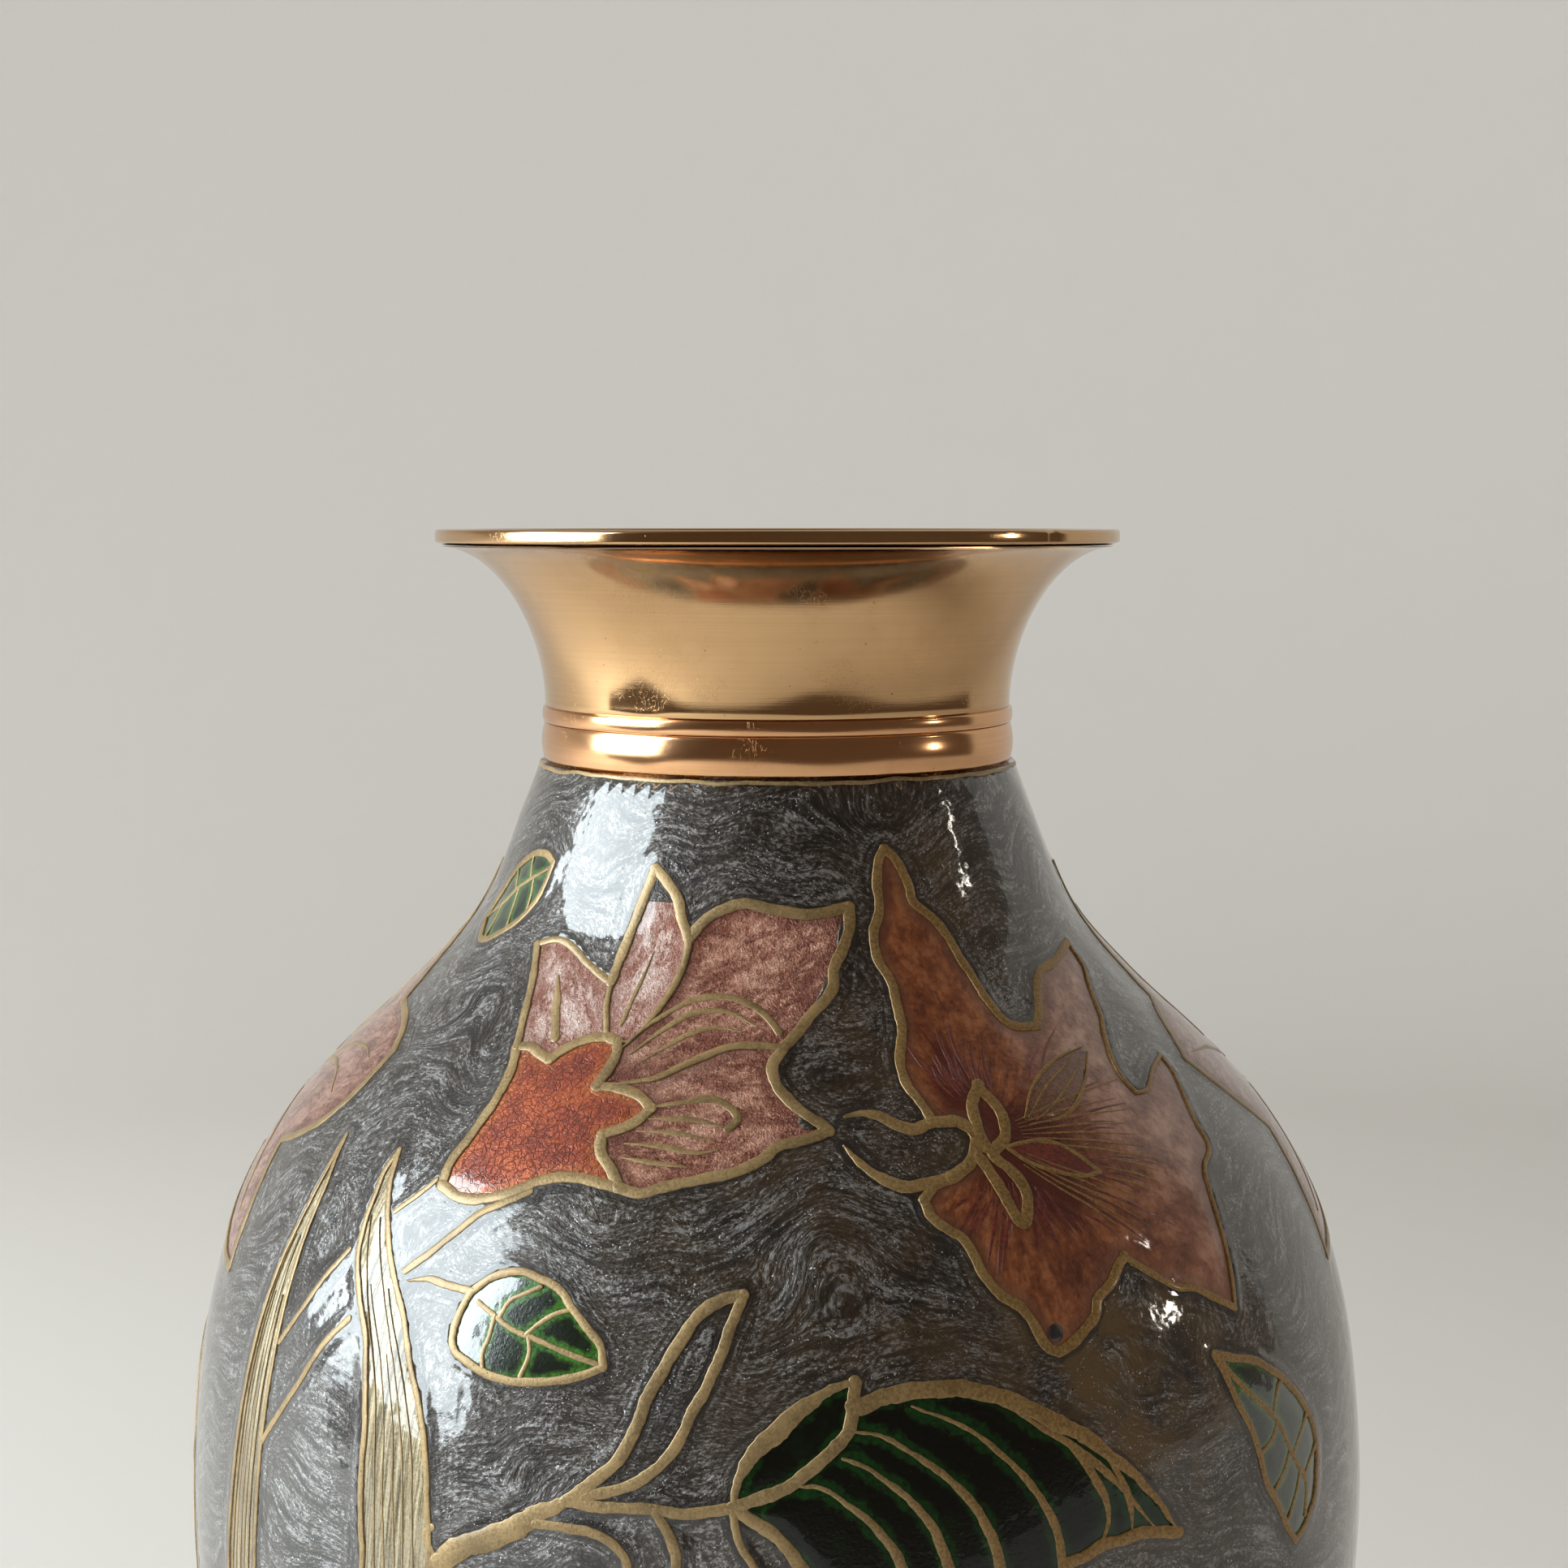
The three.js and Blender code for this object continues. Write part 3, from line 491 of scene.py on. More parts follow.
def add_on_faces(name, vertices, faces, look, node=None, **more):
    """The same piece on both faces of the vase."""
    for face in FACES:
        stands_for = f"{node}_{face}" if node else None
        add_piece(f"{name}_{face}", half_turn(vertices, face), faces, look, stands_for, **more)


def quads(rows, columns, ring=True, loop=False):
    """Faces of a grid of points, row by row. With ring each row is closed, with loop each column."""
    return [(i * columns + k, i * columns + (k + 1) % columns,
             (i + 1) % rows * columns + (k + 1) % columns, (i + 1) % rows * columns + k)
            for i in range(rows if loop else rows - 1) for k in range(columns if ring else columns - 1)]


SHARP_ANGLE = 0.6


def lathe(name, profile, look, node, segments=288):
    """A ring turned from a closed loop of (radius, height) points that runs anticlockwise."""
    profile = np.array(profile, float)
    angle = np.arange(segments) * 2 * math.pi / segments
    rings = np.stack([profile[:, :1] * np.sin(angle), -profile[:, :1] * np.cos(angle),
                      np.repeat(profile[:, 1:], segments, 1)], -1)
    piece = add_piece(name, rings.reshape(-1, 3), quads(len(profile), segments, loop=True), look, node)
    piece.data.set_sharp_from_angle(angle=SHARP_ANGLE)
    return piece


SEAM_REACH = 1e-3
TINY = 1e-9
MERGE_REACH = 1e-4
LEAST_AREA = 1e-5
LATTICE_RISE = 0.87


def slab(points, triangles, top, depth, seams=()):
    """A closed solid on a triangulated patch of the body: a top, an underside and walls.

    Edges that run along a seam's azimuth get no wall, for a neighbour will be joined there."""
    count = len(points)
    upper, lower = on_body(points, top), on_body(points, -depth)
    edges = dict.fromkeys(edge for a, b, c in triangles for edge in ((a, b), (b, c), (c, a)))
    rim = [edge for edge in edges if (edge[1], edge[0]) not in edges]
    for seam in seams:
        on_seam = np.abs(points[:, 0] - seam) < SEAM_REACH
        rim = [(a, b) for a, b in rim if not (on_seam[a] and on_seam[b])]
    faces = [tuple(t) for t in triangles]
    faces += [(c + count, b + count, a + count) for a, b, c in triangles]
    faces += [(a + count, b + count, b, a) for a, b in rim]
    return np.vstack([upper, lower]), faces


def inside(points, polygon):
    """Which points lie inside a polygon, on the flat map."""
    found = np.zeros(len(points), bool)
    near = np.all((points >= polygon.min(0)) & (points <= polygon.max(0)), axis=1)
    x, y = points[near, 0:1], points[near, 1:2]
    x1, y1 = polygon.T
    x2, y2 = np.roll(polygon, -1, 0).T
    crossing = (y1 > y) != (y2 > y)
    rise = np.where(np.abs(y2 - y1) < TINY, TINY, y2 - y1)
    found[near] = (crossing & (x < x1 + (y - y1) * (x2 - x1) / rise)).sum(1) % 2 == 1
    return found


def triangulate(outlines, extra, keep):
    """Triangles on the flat map that follow the closed outlines and use the extra points.

    Keep is told the triangles' middles and says which ones stay. Gives (azimuth, height)
    points and triangles."""
    points, edges = [], []
    for line, closed in outlines:
        start, count = len(points), len(line)
        points += [Vector(p) for p in line]
        edges += [(start + i, start + i + 1) for i in range(count - 1)]
        if closed:
            edges.append((start + count - 1, start))
    points += [Vector(p) for p in extra]
    found, _, faces = delaunay_2d_cdt(points, edges, [], 0, MERGE_REACH, False)[:3]
    found = np.array([tuple(p) for p in found])
    faces = np.array([f for f in faces if len(f) == 3])
    corners = found[faces]
    first, second = corners[:, 1] - corners[:, 0], corners[:, 2] - corners[:, 0]
    area = first[:, 0] * second[:, 1] - first[:, 1] * second[:, 0]
    faces[area < 0] = faces[area < 0][:, ::-1]
    faces = faces[(np.abs(area) > LEAST_AREA) & keep(corners.mean(1))]
    used, faces = np.unique(faces, return_inverse=True)
    faces = faces.reshape(-1, 3)
    return unflat(found[used]), faces.tolist()


def lattice(low, high, spacing):
    """Staggered points over a box of the flat map, about spacing apart on the real surface."""
    rows = []
    for i, y in enumerate(np.arange(low[1], high[1], spacing * LATTICE_RISE)):
        step = spacing * DEGREE / (radius_at(height_at(y)) * math.pi / 180)
        x = np.arange(low[0] + (i % 2) * step / 2, high[0], step)
        rows.append(np.stack([x, np.full(len(x), y)], -1))
    return np.vstack(rows)


WAVES = (1, 0.53, 0.27)  # lengths of the waves in a ripple, each weaker than the one before
WAVES_PEAK = 1.8
ANY_PHASE = 6.3
WAVER = 0.13  # how far a wire's sides waver, as a share of its half width
FINE_WAVER = 0.45
SIDE_PERIODS = ((5.2, 1.6), (4.3, 1.4))  # the slow and the quick waver of the left and the right side
TAPER_END = 0.25
TAPER_SHARE = 0.45
CAP = [(-1.0, 0.12), (-0.92, 0.42), (-0.7, 0.72), (-0.4, 0.92)]  # a round end: (along, half width)
CORNER = 0.3  # where a wire's rounded edge has its middle point
CROWN = 0.25  # how far a wire's middle stands above its edges, as a share of the edge
NARROWEST = 1.05


def ripple(length, period, amount):
    """A seeded wavy line round 0 for places along a length, in millimetres."""
    waves = sum(np.sin(length * 2 * math.pi / (period * f) + rng.uniform(0, ANY_PHASE)) / (i + 1)
                for i, f in enumerate(WAVES))
    return waves * amount / WAVES_PEAK


def ribbon(line, width, taper=0, lift=0.26, edge=0.1, depth=0.5):
    """One wire laid along a line: a closed strip with a rounded top, wavering sides and round ends."""
    p, n = on_body(line), normal_at(line)
    t = np.gradient(p, axis=0)
    t /= np.linalg.norm(t, axis=1, keepdims=True)
    s = np.concatenate([[0], np.cumsum(np.linalg.norm(np.diff(p, axis=0), axis=1))])
    share = s / s[-1]
    half = np.full(len(s), width / 2)
    for end, from_end in ((1, share), (2, 1 - share)):
        if taper & end:
            half *= TAPER_END + (1 - TAPER_END) * np.minimum(1, from_end / TAPER_SHARE)
    waver = WAVER * width / 2
    left, right = [half + ripple(s, slow, waver) + ripple(s, quick, waver * FINE_WAVER)
                   for slow, quick in SIDE_PERIODS]
    start = [(p[0] + t[0] * a * half[0], n[0], t[0], half[0] * w, half[0] * w) for a, w in CAP]
    end = [(p[-1] - t[-1] * a * half[-1], n[-1], t[-1], half[-1] * w, half[-1] * w)
           for a, w in reversed(CAP)]
    rows = start + list(zip(p, n, t, left, right)) + end
    edge = min(edge, width / 4)
    vertices = []
    for centre, up, along, wide_left, wide_right in rows:
        side = np.cross(along, up)
        l, r = max(wide_left, edge * NARROWEST), max(wide_right, edge * NARROWEST)
        section = [(-l, -depth), (r, -depth), (r, lift - edge), (r - edge * CORNER, lift - edge * CORNER),
                   (r - edge, lift), (0, lift + edge * CROWN), (edge - l, lift),
                   (edge * CORNER - l, lift - edge * CORNER), (-l, lift - edge)]
        vertices += [centre + side * across + up * height for across, height in section]
    count, total = len(section), len(vertices)
    faces = [tuple(range(count))[::-1], *quads(len(rows), count), tuple(range(total - count, total))]
    return np.array(vertices), faces


def join_parts(parts):
    """Several (vertices, faces) as one."""
    vertices, faces, start = [], [], 0
    for part_vertices, part_faces in parts:
        vertices.append(part_vertices)
        faces += [tuple(i + start for i in face) for face in part_faces]
        start += len(part_vertices)
    return np.vstack(vertices), faces


# ---- Finishes ----


class Finish:
    """A Principled material, with short calls for the nodes that the finishes share.

    Its place is in millimetres from the vase's origin."""

    def __init__(self, name, **constants):
        self.material = bpy.data.materials.new(name)
        self.material.use_nodes = True
        self.tree = self.material.node_tree
        self.surface = self.tree.nodes["Principled BSDF"]
        place = self.node("ShaderNodeTexCoord").outputs["Object"]
        self.place = self.vector("SCALE", place, scale=1 / MM)
        for key, value in constants.items():
            self.surface.inputs[key.replace("_", " ")].default_value = value

    def node(self, kind, inputs=None, **settings):
        made = self.tree.nodes.new(kind)
        for key, value in settings.items():
            setattr(made, key, value)
        for key, value in (inputs or {}).items():
            self.feed(made.inputs[key], value)
        return made

    def feed(self, socket, value):
        if isinstance(value, bpy.types.NodeSocket):
            self.tree.links.new(value, socket)
        else:
            socket.default_value = value

    def shade(self, **inputs):
        for key, value in inputs.items():
            self.feed(self.surface.inputs[key.replace("_", " ")], value)
        return self.material

    def attribute(self, name):
        return self.node("ShaderNodeAttribute", attribute_name=name).outputs["Fac"]

    def vector(self, operation, a, b=None, scale=None):
        made = self.node("ShaderNodeVectorMath", {0: a}, operation=operation)
        if b is not None:
            self.feed(made.inputs[1], b)
        if scale is not None:
            self.feed(made.inputs["Scale"], scale)
        return made.outputs[0]

    def math(self, operation, a, b=0.0, c=0.0):
        return self.node("ShaderNodeMath", {0: a, 1: b, 2: c}, operation=operation).outputs[0]

    def times(self, a, b, plus=None):
        return self.math("MULTIPLY", a, b) if plus is None else self.math("MULTIPLY_ADD", a, b, plus)

    def fit(self, value, low, high, to_low=0.0, to_high=1.0):
        made = self.node("ShaderNodeMapRange", {0: value, 1: low, 2: high, 3: to_low, 4: to_high},
                         interpolation_type="SMOOTHSTEP")
        return made.outputs[0]

    def noise(self, vector, scale, detail=3.0, rough=0.55, w=None):
        inputs = {"Vector": vector, "Scale": scale, "Detail": detail, "Roughness": rough}
        if w is not None:
            inputs["W"] = w
        return self.node("ShaderNodeTexNoise", inputs, noise_dimensions="3D" if w is None else "4D")

    def value(self, *args, **kwargs):
        return self.noise(*args, **kwargs).outputs["Fac"]

    def cells(self, vector, scale, feature="F1"):
        inputs = {"Vector": vector, "Scale": scale}
        return self.node("ShaderNodeTexVoronoi", inputs, feature=feature).outputs["Distance"]

    def ramp(self, value, *stops):
        made = self.node("ShaderNodeValToRGB", {0: value})
        elements = made.color_ramp.elements
        elements[0].position, elements[0].color = stops[0][0], (*stops[0][1], 1)
        elements[1].position, elements[1].color = stops[-1][0], (*stops[-1][1], 1)
        for position, colour in stops[1:-1]:
            elements.new(position).color = (*colour, 1)
        return made.outputs[0]

    def mix(self, share, a, b):
        made = self.node("ShaderNodeMix", data_type="RGBA")
        self.feed(made.inputs[0], share)
        for socket, value in ((made.inputs[6], a), (made.inputs[7], b)):
            self.feed(socket, value if isinstance(value, bpy.types.NodeSocket) else (*value, 1))
        return made.outputs[2]

    def cover(self, colour, other, share, most):
        """A colour covered by another one, up to a greatest share."""
        return self.mix(self.times(share, most), colour, other)

    def bump(self, height, depth):
        inputs = {"Height": height, "Strength": 1.0, "Distance": depth * MM}
        return self.node("ShaderNodeBump", inputs).outputs[0]

    def stretched(self, x, y, z):
        return self.vector("MULTIPLY", self.place, (x, y, z))


def scaled(colour, factor):
    return tuple(c * factor for c in colour)


def brass(name, bright, dark, roughness, rings=5.0, tarnish=0.35):
    """Turned brass: fine lathe rings, polish marks, tarnish clouds and pits."""
    f = Finish(name, Metallic=1.0)
    ring = f.value(f.stretched(0.02, 0.02, rings), 1.0, 4, 0.65)
    fine = f.value(f.stretched(0.15, 0.15, rings * 4), 1.0, 3, 0.6)
    cloud = f.value(f.place, 0.09, 4, 0.6)
    spots = f.fit(f.value(f.place, 1.3, 3, 0.7), 0.66, 0.78)
    pits = f.fit(f.cells(f.place, 0.42), 0.045, 0.02)
    scratch = f.fit(f.value(f.stretched(2.2, 0.16, 0.9), 1.0, 2, 0.5), 0.49, 0.5)
    scratch_end = f.fit(f.value(f.stretched(2.2, 0.16, 0.9), 1.0, 2, 0.5), 0.52, 0.51)
    lines = f.times(f.times(scratch, scratch_end), f.fit(cloud, 0.5, 0.62))
    colour = f.cover(bright, dark, f.fit(cloud, 0.4, 0.75), tarnish)
    colour = f.cover(colour, dark, f.fit(ring, 0.35, 0.7), 0.22)
    colour = f.cover(colour, scaled(dark, 0.45), spots, 0.3)
    colour = f.mix(pits, colour, (0.06, 0.04, 0.025))
    height = f.times(ring, 0.5, f.times(fine, 0.35))
    height = f.times(pits, -2.0, height)
    height = f.times(lines, -0.8, height)
    rough = f.times(cloud, 0.14, roughness - 0.07)
    rough = f.times(spots, 0.12, rough)
    return f.shade(Base_Color=colour, Roughness=rough, Normal=f.bump(height, 0.006))


def wire_brass(name, bright, dark):
    """The flat, ground-down wires: khaki brass with grain and pits, turning gold on the right as a painted
    reflection of the warm room.
    """
    f = Finish(name, Metallic=0.5, Coat_Weight=0.3, Coat_Roughness=0.15)
    grain = f.value(f.place, 3.2, 4, 0.65)
    cloud = f.value(f.place, 0.22, 3, 0.6)
    pits = f.fit(f.cells(f.place, 1.1), 0.09, 0.04)
    colour = f.mix(f.fit(f.times(grain, 0.5, f.times(cloud, 0.5)), 0.36, 0.62), dark, bright)
    # Painted reflection: wires on the right turn gold, standing in for the warm room they mirror.
    reflected_gold = f.mix(f.fit(grain, 0.35, 0.65), (0.14, 0.070, 0.016), (0.33, 0.185, 0.045))
    colour = f.cover(colour, reflected_gold, f.attribute("warm_reflection"), 0.75)
    colour = f.mix(pits, colour, (0.10, 0.075, 0.045))
    height = f.times(pits, -1.0, grain)
    rough = f.fit(grain, 0.3, 0.7, 0.34, 0.52)
    return f.shade(Base_Color=colour, Roughness=rough, Normal=f.bump(height, 0.05))


def streaks(f, wobble=1.0, broad=(0.12, 0.5), hair=(0.22, 2.0)):
    """Two grades of brush streak that follow the enamel's flow, each from 0 to 1.

    Each grade is (waves per mm along a streak, waves per mm across it)."""
    flow = f.attribute("flow")
    swing = f.math("SUBTRACT", f.value(f.place, 0.07, 1, 0.5), 0.5)
    flow = f.times(swing, wobble * 3.0, flow)
    return [f.value(f.vector("SCALE", f.place, scale=along), 1.0, 3, 0.6, w=f.times(flow, across))
            for along, across in (broad, hair)]


def glossy(f, height, depth, **inputs):
    """The clear glaze over an enamel: the pigment's relief below, a softly uneven coat above."""
    peel = f.value(f.place, 0.34, 2, 0.5)
    pits = f.fit(f.cells(f.place, 0.75), 0.085, 0.03)
    coat = f.times(pits, -0.25, peel)
    coat = f.times(height, 0.05, coat)
    return f.shade(Normal=f.bump(height, depth), Coat_Normal=f.bump(coat, 0.09), **inputs)


def slate_enamel(name):
    """The ground: pearly slate with dark hair streaks, silver flecks that are partly painted sparkle, pits,
    a painted warm reflection and painted shade beside the wires.
    """
    f = Finish(name, Metallic=0.55, Coat_Weight=1.0, Coat_Roughness=0.05, Coat_IOR=1.55)
    edge = f.attribute("edge")
    sway = f.times(f.value(f.place, 0.035, 2, 0.5), 34.0, -17.0)
    swayed = f.vector("ADD", f.place, f.node("ShaderNodeCombineXYZ", {2: sway}).outputs[0])
    near = f.fit(edge, 4.0, 0.6)
    grades = []
    for (along, across), beside in zip(((0.14, 0.6), (0.2, 1.5), (0.13, 1.3)),
                                       (*streaks(f), streaks(f, 1.0, (0.13, 1.3))[0])):
        level = f.value(f.vector("MULTIPLY", swayed, (along, along, across)), 1.0, 3, 0.6)
        grades.append(f.math("ADD", level, f.times(near, f.math("SUBTRACT", beside, level))))
    broad, hair, strokes = grades
    grain = f.value(f.vector("MULTIPLY", swayed, (1.7, 1.7, 3.6)), 1.0, 3, 0.75)
    patch = f.value(f.place, 0.12, 3, 0.6)
    tone = f.times(broad, 0.15, f.times(hair, 0.25))
    tone = f.times(grain, 0.5, f.times(patch, 0.1, tone))
    colour = f.ramp(f.fit(tone, 0.41, 0.60),
                    (0.0, (0.011, 0.008, 0.006)), (0.35, (0.036, 0.029, 0.025)),
                    (0.65, (0.076, 0.067, 0.061)), (1.0, (0.25, 0.245, 0.245)))
    for low, stroke_tone in ((0.44, strokes), (0.42, hair)):
        dark_stroke = f.times(f.fit(stroke_tone, low, low - 0.03), f.fit(patch, 0.32, 0.48))
        colour = f.cover(colour, (0.007, 0.006, 0.006), dark_stroke, 0.85)
    # Painted reflection: warm brown patches on the right stand in for the warm room mirrored in the glaze.
    warm_reflection = f.times(f.attribute("warm_reflection"), f.fit(f.value(f.place, 0.16, 3), 0.3, 0.7))
    colour = f.cover(colour, (0.112, 0.065, 0.020), warm_reflection, 0.85)
    # Silver flecks: partly the pearly enamel's own flakes, partly painted sparkle.
    fleck_and_sparkle = f.times(f.fit(f.value(f.place, 4.0, 1, 0.5), 0.67, 0.72), f.fit(broad, 0.46, 0.56))
    colour = f.cover(colour, (0.66, 0.68, 0.72), fleck_and_sparkle, 0.7)
    # Painted shade: a dark band in the ground hugging the wires, its reach wavering with noise.
    shadow = f.times(f.value(f.place, 0.6, 2), 1.2, -0.35)
    wire_shade = f.fit(f.math("SUBTRACT", edge, shadow), 0.3, 0.0)
    colour = f.cover(colour, (0.018, 0.015, 0.014), wire_shade, 0.7)
    for size, share in ((0.5, 0.085), (1.1, 0.10)):
        pits = f.fit(f.cells(f.place, size), share, share * 0.5)
        colour = f.mix(pits, colour, (0.005, 0.005, 0.005))
    height = f.times(hair, 0.7, f.times(broad, 0.3))
    height = f.times(grain, 0.8, height)
    rough = f.fit(grain, 0.3, 0.7, 0.30, 0.46)
    return glossy(f, height, 0.2, Base_Color=colour, Roughness=rough)


def pearl_enamel(name, light, middle, dark):
    """Pink pearl: crumpled brush marks along the petal, with redder lines and rim, and painted glints."""
    f = Finish(name, Metallic=0.5, Coat_Weight=0.9, Coat_Roughness=0.08, Coat_IOR=1.5)
    broad, hair = streaks(f, 1.6, (0.25, 0.5), (0.5, 1.3))
    crumple = f.value(f.place, 1.8, 4, 0.7)
    tone = f.times(broad, 0.4, f.times(hair, 0.3, f.times(crumple, 0.3)))
    colour = f.ramp(f.fit(tone, 0.36, 0.64), (0.0, dark), (0.45, middle), (1.0, light))
    line = f.fit(f.math("ABSOLUTE", f.math("SUBTRACT", hair, 0.5)), 0.03, 0.0)
    colour = f.cover(colour, scaled(dark, 0.6), line, f.fit(broad, 0.58, 0.42))
    crease = f.fit(f.math("ABSOLUTE", f.math("SUBTRACT", crumple, 0.5)), 0.03, 0.0)
    colour = f.cover(colour, scaled(dark, 0.8), crease, 0.5)
    rim = f.fit(f.attribute("edge"), 1.5, 0.5)
    colour = f.cover(colour, dark, rim, 0.5)
    grain = f.value(f.place, 4.2, 2, 0.7)
    # Painted glints: pale specks on the grain's peaks stand in for the pearl's sparkle under light.
    painted_glint = f.fit(grain, 0.62, 0.72)
    colour = f.cover(colour, (0.85, 0.68, 0.60), painted_glint, 0.45)
    height = f.times(hair, 0.6, f.times(grain, 0.6, crumple))
    rough = f.fit(crumple, 0.3, 0.7, 0.26, 0.42)
    return glossy(f, height, 0.8, Base_Color=colour, Roughness=rough)


def rose_enamel(name):
    """The lily: deep red round its heart, orange-brown petals at the left and pink ones at the right."""
    f = Finish(name, Metallic=0.35, Coat_Weight=0.9, Coat_Roughness=0.08, Coat_IOR=1.5)
    broad, hair = streaks(f, 1.2, (0.25, 0.5), (0.4, 1.5))
    crumple = f.value(f.place, 1.3, 4, 0.6)
    tone = f.fit(f.times(broad, 0.5, f.times(hair, 0.25, f.times(crumple, 0.25))), 0.36, 0.64)
    brown = f.ramp(
        tone, (0.0, (0.085, 0.017, 0.005)), (0.5, (0.20, 0.052, 0.014)), (1.0, (0.34, 0.12, 0.042)))
    pink = f.ramp(
        tone, (0.0, (0.15, 0.055, 0.033)), (0.5, (0.28, 0.130, 0.085)), (1.0, (0.45, 0.27, 0.20)))
    colour = f.mix(f.attribute("pink"), brown, pink)
    heat = f.math("ADD", f.attribute("redness"), f.times(hair, 1.6, -0.8))
    colour = f.mix(f.fit(heat, 0.25, 0.75), colour, (0.080, 0.008, 0.002))
    rim = f.fit(f.attribute("edge"), 1.5, 0.5)
    colour = f.cover(colour, (0.15, 0.06, 0.03), rim, 0.5)
    height = f.times(hair, 0.5, crumple)
    rough = f.fit(crumple, 0.3, 0.7, 0.28, 0.46)
    return glossy(f, height, 0.22, Base_Color=colour, Roughness=rough)


def orange_enamel(name):
    """Orange-red over foil: clouded, crazed with fine dark cracks, brighter towards its corners."""
    f = Finish(name, Metallic=0.3, Coat_Weight=1.0, Coat_Roughness=0.06, Coat_IOR=1.55)
    warped = f.vector("ADD", f.place, f.noise(f.place, 0.8, 2).outputs["Color"])
    crack = f.fit(f.cells(warped, 1.0, "DISTANCE_TO_EDGE"), 0.07, 0.0)
    cloud = f.value(f.place, 0.28, 4, 0.6)
    grain = f.value(f.place, 2.6, 3, 0.6)
    tone = f.fit(f.times(cloud, 0.5, f.times(grain, 0.5)), 0.3, 0.7)
    colour = f.ramp(
        tone, (0.0, (0.10, 0.010, 0.003)), (0.5, (0.24, 0.034, 0.008)), (1.0, (0.42, 0.09, 0.02)))
    colour = f.cover(colour, (0.16, 0.02, 0.008), crack, 0.6)
    rim = f.fit(f.attribute("edge"), 1.2, 0.5)
    colour = f.cover(colour, (0.75, 0.30, 0.07), rim, 0.12)
    height = f.times(crack, -0.8, grain)
    return glossy(f, height, 0.12, Base_Color=colour, Roughness=0.35)


def leaf_enamel(name, deep, bright, rim_width, rim_share, gloss=1.0):
    """Transparent green: nearly black where it is deep and bright along the wires."""
    f = Finish(name, Coat_Weight=gloss, Coat_Roughness=0.03, Coat_IOR=1.55, Specular_IOR_Level=0.6 * gloss)
    cloud = f.value(f.place, 0.22, 4, 0.65)
    grain = f.value(f.place, 2.2, 3, 0.6)
    reach = f.times(f.value(f.place, 0.5, 3, 0.7), rim_width * 5, rim_width * -1.4)
    rim = f.fit(f.math("SUBTRACT", f.attribute("edge"), reach), 0.35, -0.25)
    colour = f.cover(deep, bright, f.fit(cloud, 0.5, 0.78), 0.12)
    colour = f.cover(colour, bright, f.times(rim, f.fit(grain, 0.2, 0.65)), rim_share)
    return glossy(f, grain, 0.03, Base_Color=colour, Roughness=0.2)


def straw_enamel(name):
    """The blades: creamy gold with fine lengthwise lines, darker between them."""
    f = Finish(name, Metallic=0.5, Coat_Weight=0.9, Coat_Roughness=0.08, Coat_IOR=1.5)
    flow = f.times(f.math("SUBTRACT", f.value(f.place, 0.1, 2), 0.5), 0.7, f.attribute("flow"))
    lines = f.value(f.stretched(0.06, 0.06, 0.06), 1.0, 4, 0.7, w=f.times(flow, 2.1))
    grain = f.value(f.place, 3.5, 3, 0.6)
    tone = f.fit(f.times(lines, 0.8, f.times(grain, 0.2)), 0.36, 0.66)
    colour = f.ramp(tone, (0.0, (0.045, 0.04, 0.033)), (0.28, (0.17, 0.135, 0.075)),
                    (0.6, (0.31, 0.25, 0.15)), (1.0, (0.50, 0.43, 0.29)))
    height = f.times(grain, 0.2, lines)
    return glossy(f, height, 0.25, Base_Color=colour, Roughness=0.36)


def dark_enamel(name, colour):
    """A thin dark line of enamel with a slightly grainy tone."""
    f = Finish(name, Coat_Weight=0.8, Coat_Roughness=0.1)
    grain = f.value(f.place, 2.5, 3, 0.6)
    tone = f.mix(f.fit(grain, 0.35, 0.65), scaled(colour, 0.6), scaled(colour, 1.5))
    return f.shade(Base_Color=tone, Roughness=0.4, Normal=f.bump(grain, 0.04))


